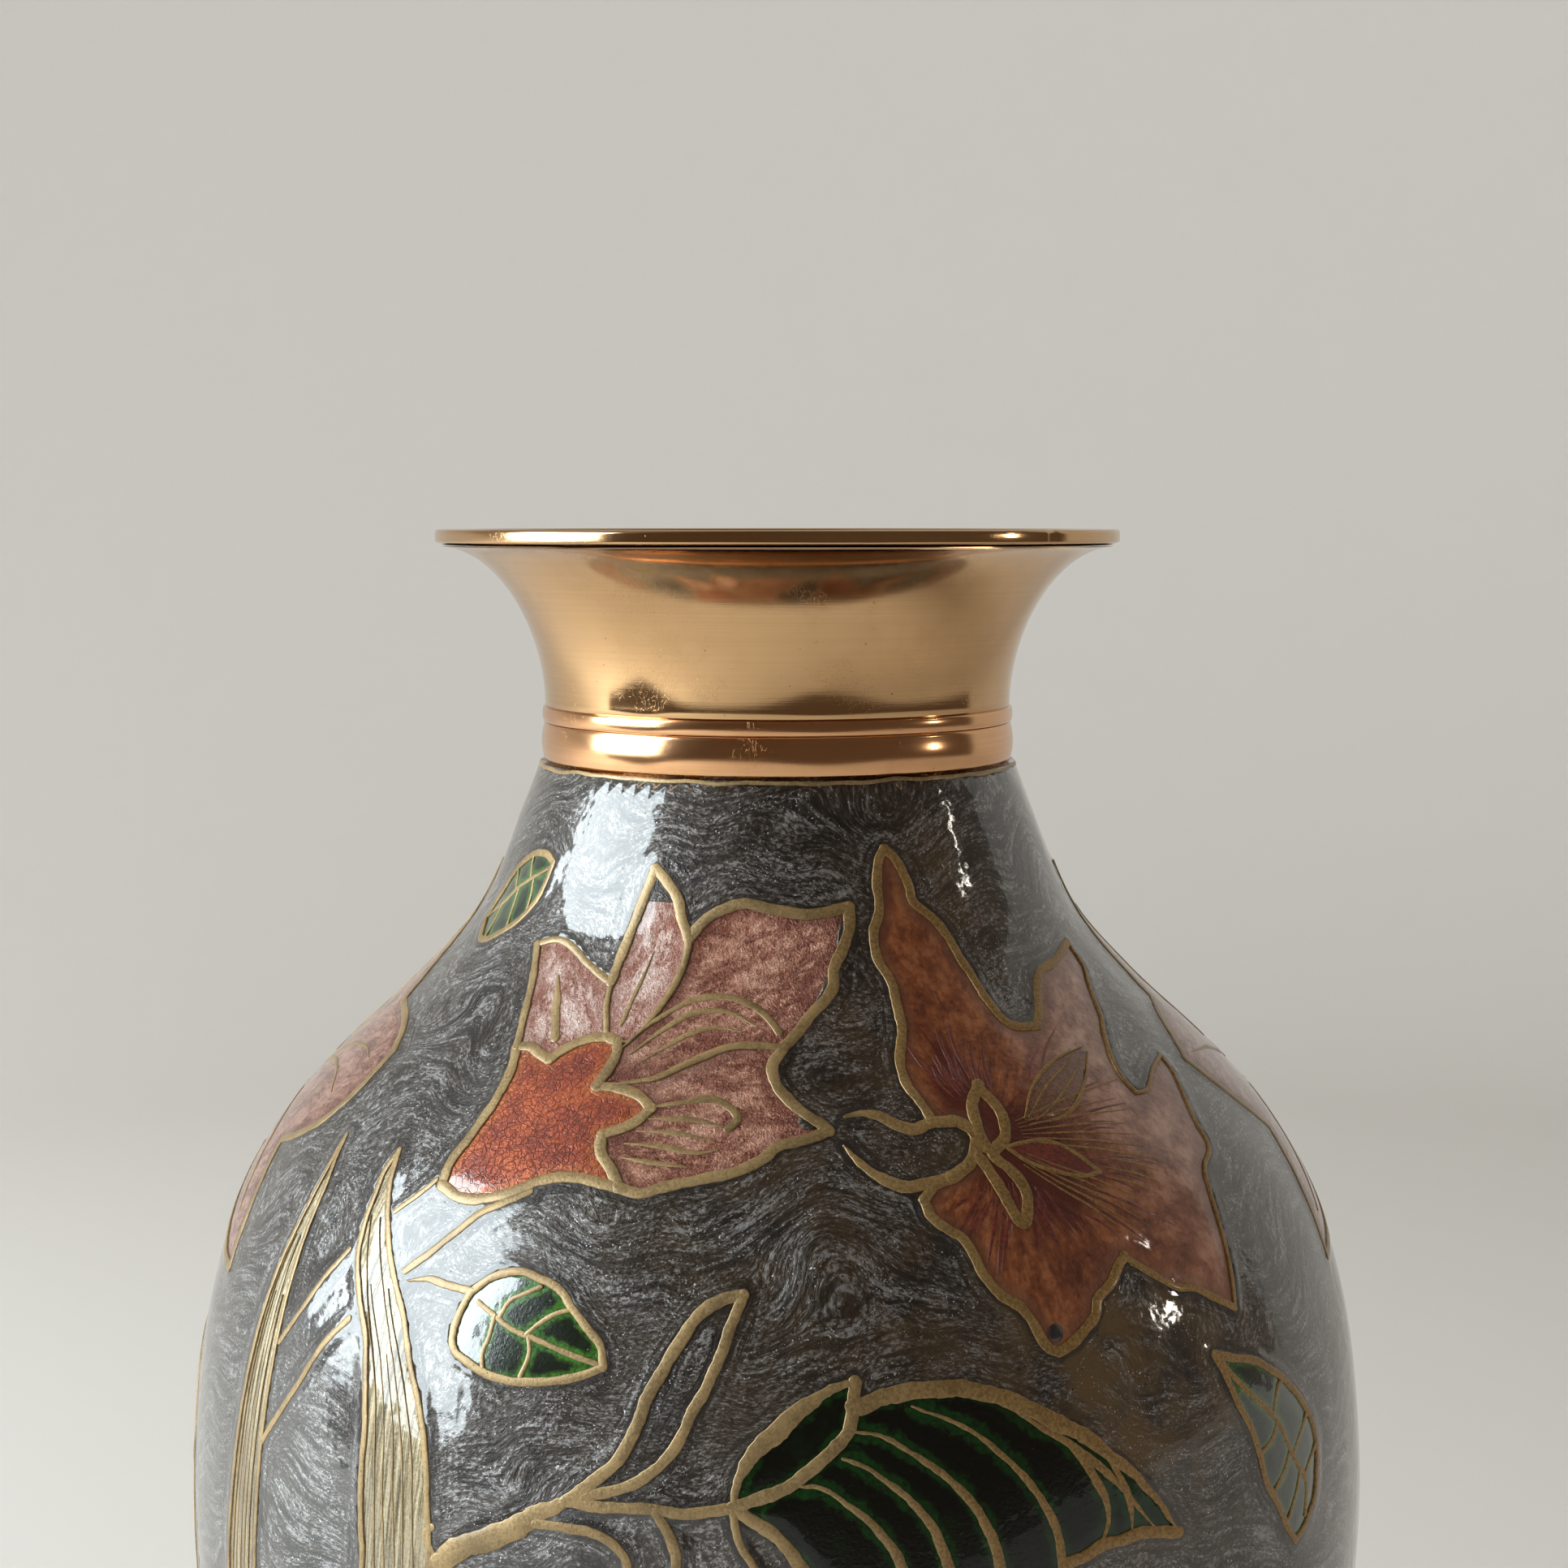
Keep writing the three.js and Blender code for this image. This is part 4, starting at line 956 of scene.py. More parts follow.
# Each look: the slot that its pieces share, and its material.
LOOKS = {
    "polished": ("polished_brass",
                 brass("polished_brass", (0.63, 0.395, 0.20), (0.42, 0.245, 0.115), 0.11)),
    "coppery": ("polished_brass",
                brass("collar_brass", (0.76, 0.43, 0.22), (0.50, 0.23, 0.10), 0.17, rings=3.0)),
    "raw": ("raw_brass",
            brass("raw_brass", (0.50, 0.37, 0.20), (0.24, 0.15, 0.07), 0.42, rings=1.5, tarnish=0.8)),
    "wire": ("wire_brass", wire_brass("wire_brass", (0.33, 0.225, 0.10), (0.18, 0.12, 0.052))),
    "slate": ("slate_enamel", slate_enamel("slate_enamel")),
    "pink": ("pink_enamel",
             pearl_enamel("pink_enamel", (0.60, 0.33, 0.24), (0.33, 0.135, 0.085), (0.14, 0.028, 0.014))),
    # Painted light: a paler copy of the pink enamel for the two petals on the window side, lit by the
    # window.
    "pale": ("pink_enamel",
             pearl_enamel("window_lit_pink_enamel", (0.92, 0.74, 0.68), (0.72, 0.47, 0.41), (0.33, 0.11, 0.07))),
    "rose": ("rose_enamel", rose_enamel("rose_enamel")),
    "orange": ("orange_enamel", orange_enamel("orange_enamel")),
    "green": ("green_enamel",
              leaf_enamel("green_enamel", (0.002, 0.007, 0.003), (0.05, 0.17, 0.02), 0.25, 0.8)),
    "deep": ("green_enamel",
             leaf_enamel("deep_green_enamel", (0.001, 0.002, 0.001), (0.004, 0.05, 0.006), 0.5, 0.6, 0.45)),
    "grey": ("grey_enamel",
             leaf_enamel("grey_enamel", (0.007, 0.016, 0.012), (0.055, 0.15, 0.028), 0.25, 0.8)),
    "straw": ("straw_enamel", straw_enamel("straw_enamel")),
    "deep_red": ("rose_enamel", dark_enamel("deep_red_enamel", (0.10, 0.012, 0.004))),
    "brown_line": ("rose_enamel", dark_enamel("brown_enamel", (0.12, 0.045, 0.02))),
    # Painted shade: the near-black disc that stands for the shadow in the lily's eyelet.
    "hole_shade": ("rose_enamel", dark_enamel("hole_shadow", (0.012, 0.010, 0.009))),
}
LEAF_LOOKS = ("green", "deep", "grey")

# ---- Metal ----


def arc_points(centre, radius, start, end, count=6):
    """Points on an arc, with angles in degrees from the radial direction."""
    angles = np.radians(np.linspace(start, end, count))
    return [(centre[0] + radius * math.cos(a), centre[1] + radius * math.sin(a)) for a in angles]


def inset_profile(distance, low, high):
    """The body's profile moved inwards, from a low height to a high one."""
    lean = 1 / np.hypot(1, BODY_SLOPE)
    line = np.stack([BODY[:, 0] - distance * lean, BODY[:, 1] + distance * BODY_SLOPE * lean], -1)
    return [tuple(p) for p in line[(line[:, 1] > low) & (line[:, 1] < high)][::3]]


LIP_BOTTOM, LIP_TOP, LIP_RADIUS = span("lip_ring")
LIP_INNER = 37.2
LIP_ROUND = 0.45
SEAM_AZIMUTH = 48.0  # degrees: where the ring's two ends are brazed together
SEAM_HALF = 0.6  # degrees
SEAM_INSET = 0.12
SEAM_DROP = 0.08
SEAM_TOP = 0.6
NECK_BOTTOM, NECK_TOP, NECK_RADIUS = span("neck_tube")
NECK_BORE = 24.6
NECK_WALL = 1.5
NECK_WAIST = 27.7
SPIGOT_RADIUS = 26.2
FLARE_BOTTOM = 219.4
FLARE_EXPONENT = 1.85
FLARE_STEPS = 48


def flare(share):
    rise = 1 - (1 - share**FLARE_EXPONENT) ** (1 / FLARE_EXPONENT)
    return NECK_WAIST + (NECK_RADIUS - NECK_WAIST) * rise


def make_neck():
    shares = [math.sin(i / FLARE_STEPS * math.pi / 2) for i in range(FLARE_STEPS + 1)]
    heights = [FLARE_BOTTOM + (NECK_TOP - FLARE_BOTTOM) * share for share in shares]
    outer = [(flare(share), height) for share, height in zip(shares, heights)]
    inner = [(max(NECK_BORE, flare(s) - NECK_WALL - 0.9 * s - 1.6 * (1 - s) ** 3), h)
             for s, h in zip(shares, heights)]
    spigot = [(NECK_BORE, NECK_BOTTOM), (SPIGOT_RADIUS - 0.3, NECK_BOTTOM),
              (SPIGOT_RADIUS - 0.2, FLARE_BOTTOM - 0.4), (NECK_WAIST - 0.2, FLARE_BOTTOM - 0.4)]
    lathe("neck_tube_spun", spigot + outer + inner[::-1], "polished", "neck_tube")


def make_lip():
    """A flat ring with rounded edges and a small ledge under its outer edge."""
    r, top = LIP_ROUND, LIP_TOP
    ledge = NECK_RADIUS + 0.05
    profile = [(LIP_INNER, LIP_BOTTOM), (ledge - 0.15, LIP_BOTTOM), (ledge, LIP_BOTTOM + 0.12)]
    profile += arc_points((LIP_RADIUS - 0.3, LIP_BOTTOM + 0.55), 0.3, -75, 0)
    profile += arc_points((LIP_RADIUS - r, top - r), r, 0, 90)
    profile += arc_points((LIP_INNER + r, top - r), r, 90, 180)
    piece = lathe("lip_ring_turned", profile, "polished", "lip_ring", segments=360)
    for vertex in piece.data.vertices:
        azimuth = math.degrees(math.atan2(vertex.co.x, -vertex.co.y))
        if abs(azimuth - SEAM_AZIMUTH) < SEAM_HALF:
            vertex.co.xy *= 1 - SEAM_INSET / LIP_RADIUS
            vertex.co.z -= SEAM_DROP * MM * (vertex.co.z > (LIP_TOP - SEAM_TOP) * MM)


def make_collar():
    low, high, radius = span("neck_collar")
    ends, bulge = radius - 0.3, 0.3
    curve = [(ends + bulge * math.sin(t * math.pi), low + 0.1 + (high - low - 0.2) * t)
             for t in np.linspace(0, 1, 16)]
    profile = [(SPIGOT_RADIUS, low - 0.6), (ends - 0.3, low - 0.6), (ends - 0.1, low)] + curve
    profile += [(ends - 0.15, high + 0.1), (SPIGOT_RADIUS, high + 0.1)]
    lathe("neck_collar_turned", profile, "coppery", "neck_collar")
    low, high, radius = span("neck_bead")
    middle, half = (low + high) / 2, (high - low) / 2
    crown = [(radius - 0.2 * (1 - math.cos(t)), middle + half * math.sin(t))
             for t in np.linspace(-math.pi / 2, math.pi / 2, 11)]
    lathe("neck_bead_turned", [(SPIGOT_RADIUS, low)] + crown + [(SPIGOT_RADIUS, high)],
          "coppery", "neck_bead")


SHELL_OUTSIDE = 1.3
SHELL_INSIDE = 3.3
LAP_DEPTH = 2.3
LAP_HEIGHT = 5
PINHOLE = 0.05


def make_shells():
    low, high, _ = span("upper_body_shell")
    bore = SPIGOT_RADIUS + 0.1
    outer = inset_profile(SHELL_OUTSIDE, low, high - 0.2)
    inner = inset_profile(SHELL_INSIDE, low + LAP_HEIGHT, NECK_BOTTOM - 0.5)
    lap = inset_profile(LAP_DEPTH, low, low + LAP_HEIGHT)
    profile = outer + [(bore, high - 0.2), (bore, NECK_BOTTOM - 0.3)] + inner[::-1] + lap[::-1]
    lathe("upper_body_shell_spun", profile, "raw", "upper_body_shell")
    low, high, _ = span("lower_body_shell")
    outer = inset_profile(SHELL_OUTSIDE, low, high - LAP_HEIGHT)
    tongue = inset_profile(LAP_DEPTH + 0.2, high - LAP_HEIGHT, high)
    inner = inset_profile(SHELL_INSIDE, low, high)
    lathe("lower_body_shell_spun", outer + tongue + inner[::-1], "raw",
          "lower_body_shell")
    low, high, radius = span("base_disc")
    rings = [(r, high - 0.12 * (1 - math.cos(r * 1.4))) for r in np.linspace(radius - 0.5, PINHOLE, 80)]
    profile = [(PINHOLE, low), (radius - 0.3, low), (radius, low + 0.3), (radius, high - 0.3)] + rings
    lathe("base_disc_spun", profile, "raw", "base_disc")


def make_foot():
    """A hollow foot: a bead under the body, a waist, and a spreading skirt with an upright band."""
    _, top, radius = span("foot_pedestal")
    waist, instep = 33.6, 35.6
    wall = 3.4
    bead = arc_points((36.2, top - 1.5), 1.35, -70, 80, 9)
    neck = smooth([(35.9, top - 3.1), (34.6, 22.2), (waist, 19), (waist + 0.1, 15.5), (instep, 10.5)], 7)
    fillet = arc_points((instep + 0.1, 9.1), 1.0, -60, 55, 8)
    skirt = smooth([(instep + 0.5, 8), (37.3, 6.1), (39.8, 4.6), (radius - 0.9, 3.75)], 6)
    band = arc_points((radius - 0.7, 2.9), 0.7, 0, 80)
    foot = arc_points((radius - 0.45, 0.45), 0.45, -90, 0)
    outer = [*foot, *band, *skirt[::-1], *fillet, *neck[::-1], *bead]
    ring_bore = radius - 4
    under = [(ring_bore - 1, 3.2), (ring_bore, 0.5), (ring_bore + 0.5, 0)]
    inside_line = smooth([(33.6, top), (33.3, 24.5), (waist - wall, 19), (waist - wall, 14),
                          (instep - wall, 9.5), (instep - wall + 2.4, 5)], 6)
    lathe("foot_pedestal_turned", [*outer, *inside_line, *under], "polished", "foot_pedestal")


# ---- Enamel ----

COLLAR_LINE = 0.25  # the wavy brass line that ends the enamel under the collar, below its top
WIRE_HALF = 0.6
BESIDE_WIRE = 0.4
GROUND_LEFT = -114.5
GROUND_RIGHT = GROUND_LEFT + 180
GROUND_COARSE = 2.0
GROUND_FINE = 0.66
GROUND_CLEAR = 0.35
FINE_REACH = 2.6
BORDER_CLEAR = 0.9
GROUND_RISE = 0.12  # how far the ground climbs to the wires
SWELL = 0.06
WELD_REACH = 0.01


def both_faces(lines):
    return lines + [line + np.array([180, 0]) for line in lines]


COLLAR_WAVE = 0.12


def ring_line(height, wave=0.0):
    """A line right round the body, with an uneven wave that closes on itself."""
    azimuth = np.linspace(0, 360, 721)
    turn = np.radians(azimuth)
    waves = sum(np.sin(turn * n + n) for n in (5, 9, 14, 22, 31))
    return np.stack([azimuth, height + wave / 2.5 * waves], -1)


cell_names = list(dict.fromkeys(name.lstrip("-") for names, *_ in CELLS.values() for name in names.split()))
cell_lines = [LINES[name] for name in cell_names]
loose_lines = [LINES[name] for _, names in MOTIFS.values() for name in names if name not in cell_names]
loose_lines += [trace(points) for _, points in STEMS]
loose_lines += [trace(VEINS["star_flower"][0][2])]
all_lines = both_faces(cell_lines + loose_lines)
relief_tree = tree_of(all_lines)
flow_tree = tree_of(all_lines + [ring_line(ENAMEL_TOP), ring_line(ENAMEL_BOTTOM)])


def ease(value, low, high):
    t = np.clip((value - low) / (high - low), 0, 1)
    return t * t * (3 - 2 * t)


# The ground's painted warm reflection of the room at its right: strength, azimuth, height and how far each
# patch spreads both ways.
WARM_REFLECTIONS = [(1, 33, 155, 16, 15), (0.6, 36, 200, 9, 9), (0.45, 14, 172, 28, 32)]


def ground_values(points, relief):
    """What the slate finish reads: the streaks' flow, the gap to the wires and the painted warm reflection.
    """
    azimuth = (points[:, 0] + 90) % 180 - 90
    reflected_warmth = sum(strength * np.exp(-(((azimuth - across) / wide) ** 2 + ((points[:, 1] - up) / tall) ** 2))
                for strength, across, up, wide, tall in WARM_REFLECTIONS)
    return {"flow": distances(flow_tree, on_body(points)), "edge": relief - WIRE_HALF, "warm_reflection": reflected_warmth}


def tiled(values, times):
    return {key: np.tile(value, times) for key, value in values.items()}


def make_ground():
    """The slate field: one skin round the body, with a window for every cell."""
    low = np.array([GROUND_LEFT * DEGREE, 0.0])
    high = np.array([GROUND_RIGHT * DEGREE, arc_at(ENAMEL_TOP)])
    rows = np.linspace(low[1], high[1], round((high[1] - low[1]) / GROUND_COARSE) + 1)
    columns = np.linspace(low[0], high[0], 121)
    border = [np.stack([np.full(len(rows), x), rows], -1) for x in (low[0], high[0])]
    border += [np.stack([columns, np.full(len(columns), y)], -1) for y in (low[1], high[1])]
    windows = [flat(chain(names)) for names, *_ in CELLS.values()]

    def outside(places):
        found = np.zeros(len(places), bool)
        for window in windows:
            found |= inside(places, window)
        return ~found

    extra = []
    for spacing, nearest, farthest in ((GROUND_COARSE, FINE_REACH, math.inf),
                                       (GROUND_FINE, GROUND_CLEAR, FINE_REACH)):
        grid = lattice(low + BORDER_CLEAR, high - BORDER_CLEAR, spacing)
        gap = distances(relief_tree, on_body(unflat(grid)))
        grid = grid[(gap > nearest) & (gap <= farthest)]
        extra.append(grid[outside(grid)])
    outlines = [(line, False) for line in border] + [(flat(line), False) for line in cell_lines]
    points, triangles = triangulate(outlines, np.vstack(extra), outside)
    relief = distances(relief_tree, on_body(points))
    rise = GROUND_RISE * (1 - ease(relief, 0.5, 1.9))
    swell = SWELL * np.sin(np.radians(points[:, 0]) * 14 + points[:, 1] * 0.09)
    swell *= np.sin(points[:, 1] * 0.17 + 1) * ease(relief, 1, 5)
    vertices, faces = slab(points, triangles, rise + swell, ENAMEL_DEPTH, (GROUND_LEFT, GROUND_RIGHT))
    flats = [start + i for start in (0, len(faces)) for i in range(len(triangles), len(faces))]
    vertices, faces = join_parts([(half_turn(vertices, face), faces) for face in FACES])
    piece = add_piece("ground_glaze", vertices, faces, "slate", "ground_enamel", flats,
                      tiled(ground_values(points, relief), 4))
    # The two half skins are welded where they meet.
    mesh = bmesh.new()
    mesh.from_mesh(piece.data)
    bmesh.ops.remove_doubles(mesh, verts=mesh.verts, dist=WELD_REACH * MM)
    mesh.to_mesh(piece.data)
    mesh.free()


CELL_BASE = 0.04
CELL_CROWN = 0.10
CELL_CLEAR = 0.3
CELL_GRID = 0.7
LEAF_GRID = 0.5
PATCH_GRID = 0.6
PATCH_DEPTH = 0.2
PATCH_LIFT = CELL_BASE + CELL_CROWN + 0.03
ROSE_FLOW = 11  # millimetres of brush flow per radian round the lily's heart


def cell_values(look, start, end, points, outline_gap, wire_gap):
    """What the finishes read in a cell: brush flow, the gap to its wires and, in the lily, its tints."""
    scale = np.radians(radius_at(points[:, 1]))
    along = np.array([(end[0] - start[0]) * scale.mean(), end[1] - start[1]])
    along /= np.linalg.norm(along)
    x, y = (points[:, 0] - start[0]) * scale, points[:, 1] - start[1]
    values = {"flow": x * along[1] - y * along[0], "edge": outline_gap - WIRE_HALF}
    if look in LEAF_LOOKS:
        values["edge"] = wire_gap - BESIDE_WIRE
    if look == "rose":
        angle, reach = np.arctan2(y, x), np.hypot(x, y)
        values["flow"] = angle * ROSE_FLOW
        spread = 4.5 + 7.5 * np.maximum(0, np.cos(angle + 0.45)) ** 2
        spread += 6 * np.exp(-(((angle - 1.75) / 0.4) ** 2))
        values["redness"] = np.exp(-((reach / spread) ** 2)) * 1.2
        values["pink"] = ease(points[:, 0] + (points[:, 1] - 178) * 0.28, 31, 50)
    if look == "slate":
        values = ground_values(points, wire_gap)
    return values


def fill(outline, spacing, clear_of=None):
    """(azimuth, height) points and triangles that fill a closed outline, for a slab."""
    border = flat(outline)
    grid = lattice(border.min(0), border.max(0), spacing)
    grid = grid[inside(grid, border)]
    if clear_of:
        grid = grid[distances(clear_of, on_body(unflat(grid))) > CELL_CLEAR]
    return triangulate([(border, True)], grid, lambda places: inside(places, border))


def make_cells():
    for name, (names, look, start, end) in CELLS.items():
        outline = chain(names)
        motif = next((m for m in VEINS if name.startswith(m)), None)
        veins = [trace(points) for _, _, points in VEINS.get(motif, [])]
        outline_tree, wire_tree = tree_of([outline]), tree_of([outline] + veins)
        points, triangles = fill(outline, LEAF_GRID if look in LEAF_LOOKS else CELL_GRID, outline_tree)
        place = on_body(points)
        outline_gap, wire_gap = distances(outline_tree, place), distances(wire_tree, place)
        top = CELL_BASE + CELL_CROWN * ease(outline_gap, 0.4, 2.2)
        vertices, faces = slab(points, triangles, top, ENAMEL_DEPTH)
        values = cell_values(look, start, end, points, outline_gap, wire_gap)
        shared = SHARED_FILLS.get(name, None if name[-1].isdigit() else name)
        add_on_faces(f"{name}_glaze", vertices, faces, look, shared and f"{shared}_enamel",
                     flat_faces=range(len(triangles), len(faces)), values=tiled(values, 2))


def disc(centre, radius, count=24):
    """A round outline in (azimuth, height)."""
    scale = math.radians(radius_at(centre[1]))
    turn = np.arange(count) * 2 * math.pi / count
    return [(centre[0] + radius * math.cos(a) / scale, centre[1] + radius * math.sin(a)) for a in turn]


# Small flat patches that lie on a cell, as (look, outline): bare ground at the petals' tips, the lily's
# dark lenses and its eyelet, a near-black disc of painted shade for a hole.
PATCHES = {
    "bell_petal_2_tip": ("slate", [(-26.3, 199.6), (-25.5, 201.3), (-24.5, 203), (-22, 202), (-19, 200),
        (-18.7, 199.6)]),
    "bell_petal_3_sliver": ("slate", [(12.4, 197.8), (12.1, 196.2), (11.2, 195.2), (10.6, 195.6),
        (11.0, 196.8), (11.7, 197.9)]),
    "bell_petal_3_notch": ("slate", [(9.2, 192.6), (8.6, 191.2), (7.0, 190.2), (5.4, 189.4), (6.8, 191.0),
        (8.2, 192.4)]),
    "bell_petal_4_tip": ("slate", [(4.6, 179.1), (3.0, 179.0), (2.4, 179.8), (3.2, 180.4), (4.4, 179.8)]),
    "lily_lens": ("deep_red", [(26, 176.5), (30, 176.7), (32.5, 176.2), (34.5, 175), (36.3, 173.2),
        (33.5, 173.2), (30.5, 174), (28, 175)]),
    "lily_upper_lens": ("brown_line", [(30, 178.5), (33.4, 181.2), (39.2, 183.1), (45.9, 183.8),
        (46.1, 183.2), (40.6, 180.2), (35.7, 178.4)]),
    "lily_eyelet": ("hole_shade", disc((25.5, 160.0), 0.85)),
}


def make_patches():
    for name, (look, outline) in PATCHES.items():
        points, triangles = fill(np.array(outline, float), PATCH_GRID)
        vertices, faces = slab(points, triangles, PATCH_LIFT, PATCH_DEPTH)
        values = ground_values(points, distances(relief_tree, on_body(points)))
        add_on_faces(name, vertices, faces, look, flat_faces=range(len(triangles), len(faces)),
                     values=tiled(values, 2))


# ---- Wire ----


REFLECTION_FROM, REFLECTION_TO = -5, 32  # azimuths between which the wires turn from khaki to gold, a painted warm reflection
FINE_EDGE = 0.07


def stack(index, base, step, count=99):
    """A lift that differs between neighbours, so that lines which cross never share a surface."""
    return base + step * (index % count)


def add_ribbons(name, parts, look="wire", node=None):
    vertices, faces = join_parts(parts)
    azimuth = np.degrees(np.arctan2(vertices[:, 0], -vertices[:, 1]))
    add_on_faces(name, vertices, faces, look, node, values={"warm_reflection": ease(azimuth, REFLECTION_FROM, REFLECTION_TO)})


def make_wires():
    for motif, (width, names) in MOTIFS.items():
        parts = [ribbon(LINES[name], *STYLES.get(name, (width, 0)), lift=stack(i, 0.21, 0.006, 5))
                 for i, name in enumerate(names)]
        add_ribbons(f"{motif}_wirework", parts, node=f"{motif}_wire")
    for motif, veins in VEINS.items():
        parts = [ribbon(trace(points), wide, taper, lift=stack(i, 0.2, 0.005, 4), edge=FINE_EDGE)
                 for i, (wide, taper, points) in enumerate(veins)]
        add_ribbons(f"{motif}_veins", parts)
    parts = [ribbon(trace(points), wide, lift=0.2, edge=0.08) for wide, points in STEMS]
    add_ribbons("flower_stems", parts)


def between(left, right, share, low, high, count=12):
    """A line that keeps its share of the way from a left stroke to a right one."""
    heights = np.linspace(low, high, count)
    sides = []
    for line in (LINES[left], LINES[right]):
        order = np.argsort(line[:, 1])
        sides.append(np.interp(heights, line[order, 1], line[order, 0]))
    return [(a + (b - a) * share, h) for a, b, h in zip(*sides, heights)]


BLADE_LINES = (0.2, 0.34, 0.5, 0.63, 0.78)  # shares of the way across a blade


def make_blade_lines():
    for motif, low, high in (("tall_blade", 86, 168), ("short_blade", 92, 164)):
        parts = []
        for i, share in enumerate(BLADE_LINES):
            line = between(f"{motif}_left", f"{motif}_right", share, low + 5 * (i % 2), high - 6 * (i % 3))
            parts.append(ribbon(trace(line), 0.3, 3, lift=0.2, edge=0.05, depth=0.2))
        add_ribbons(f"{motif}_lines", parts)


HEART = (24.5, 177.5)
HEART_SQUASH = 0.87

# The wires and fine lines round the lily's heart, as (width, taper, points).
HEART_LINES = [
    (1.3, 0, [(26, 182), (24, 180.3), (23.5, 178.2), (23.7, 176.5)]),
    (1.3, 0, [(25.8, 181.8), (27.2, 179.5), (26.6, 177.5), (24.2, 176), (25.5, 174.5), (26.3, 172.8),
        (25.7, 170.8), (24.7, 170), (23.9, 171.8), (23.3, 174), (22.4, 175.8)]),
    (0.45, 0, [(26, 176.5), (30, 176.7), (32.5, 176.2), (34.5, 175), (36.3, 173.2)]),
    (0.45, 0, [(36.3, 173.2), (33.5, 173.2), (30.5, 174), (28, 175), (26, 176.5)]),
    (0.5, 3, [(30, 178.7), (33.4, 181.2), (39.2, 183.1), (45.9, 183.8)]),
    (0.5, 3, [(30.4, 178.1), (35.7, 178.4), (40.6, 180.2), (46.1, 183.2)]),
    (0.35, 3, [(30.6, 178.7), (35.3, 181), (42.2, 183)]),
    (0.35, 3, [(31.6, 178.4), (36.5, 180), (43.6, 182.7)]),
]

# The fans of red strokes: count, first angle, step, nearest and farthest start, nearest and farthest
# end, how much each stroke turns at its start, middle and end, and its width.
HATCHING = [
    (17, -62, -4.2, (4.5, 7.5), (8.5, 14), (5, 0, -2), 0.5),
    (13, 58, 5.0, (4, 6), (7.5, 12), (0, 3, 2), 0.5),
    (16, 30, -5.4, (8, 12), (15, 21), (0, 3, 2), 0.4),
]
RAYS = 15
RAYS_OVER_LENS = (7, 8, 9)


def around(angle, distance):
    """A place on the body at an angle and distance from the lily's heart."""
    scale = math.radians(radius_at(HEART[1]))
    return (HEART[0] + distance * math.cos(math.radians(angle)) / scale,
            HEART[1] + HEART_SQUASH * distance * math.sin(math.radians(angle)))


def within(line, border):
    """The part of a line that comes before it leaves a border."""
    left = np.flatnonzero(~inside(flat(line), border))
    return line[:left[0] - 1] if len(left) else line


def make_lily_details():
    parts = [ribbon(trace(points), wide, taper, lift=stack(i, 0.26, 0.004), edge=FINE_EDGE)
             for i, (wide, taper, points) in enumerate(HEART_LINES)]
    for i in range(RAYS):
        start = 12.5 if i in RAYS_OVER_LENS else 4.0
        angle = 14 - 5.2 * i
        reach = 21 - 0.35 * i + rng.uniform(-2.5, 1.5)
        bend = 7 - 0.9 * i
        points = [around(angle * 0.75 + bend * (1 - t) ** 2, start + (reach - start) * t)
                  for t in (0, 0.3, 0.6)]
        points.append(around(angle * 0.75 - 1.5, reach))
        parts.append(ribbon(trace(points), 0.27, 3, lift=0.2, edge=0.04, depth=0.2))
    add_ribbons("lily_gold_lines", parts)
    border, parts = flat(chain(CELLS["lily"][0])), []
    for count, first, step, starts, ends, turns, width in HATCHING:
        for i in range(count):
            angle = first + step * i + rng.uniform(-2, 2)
            start, end = rng.uniform(*starts), rng.uniform(*ends)
            reaches = start, (start + end) / 2, end
            points = [around(angle + turn, reach) for turn, reach in zip(turns, reaches)]
            parts.append(ribbon(within(trace(points), border), width, 3, lift=0.16, edge=0.04, depth=0.1))
    add_ribbons("lily_red_hatching", parts, "deep_red")


def make_collar_line():
    line = ring_line(ENAMEL_TOP - COLLAR_LINE, COLLAR_WAVE)
    vertices, faces = ribbon(line, 0.45, lift=0.07, edge=0.05)
    add_piece("collar_edge_line", vertices, faces, "wire")


make_neck()
make_lip()
make_collar()
make_shells()
make_foot()
make_ground()
make_cells()
make_patches()
make_wires()
make_blade_lines()
make_lily_details()
make_collar_line()


# ---- Stage, light and camera ----


BACKDROP_COLOUR = (0.63, 0.595, 0.558, 1)
FLOOR_GAP = 0.02
LIGHT_TARGET = Vector((0, 0, 0.17))
AIR_COLOUR = (0.86, 0.80, 0.72, 1)
AIR_STRENGTH = 0.46

# The lights: azimuth, elevation, distance, width and height in metres, power in watts and colour.
LIGHTS = {
    "window": (-78, 18, 1.15, 0.80, 0.94, 28.5, (0.84, 0.95, 1.0)),
    "left_fill": (-82, 28, 1.2, 0.7, 0.7, 4.5, (0.97, 0.98, 1.0)),
    "right_lamp": (79, 10.5, 0.6, 0.032, 0.042, 0.13, (1.0, 0.92, 0.8)),
    "right_glint": (83, 26, 0.6, 0.012, 0.03, 0.04, (1.0, 0.92, 0.8)),
}
DIFFUSE_LIGHTS = ("left_fill",)  # lights that the gloss does not see


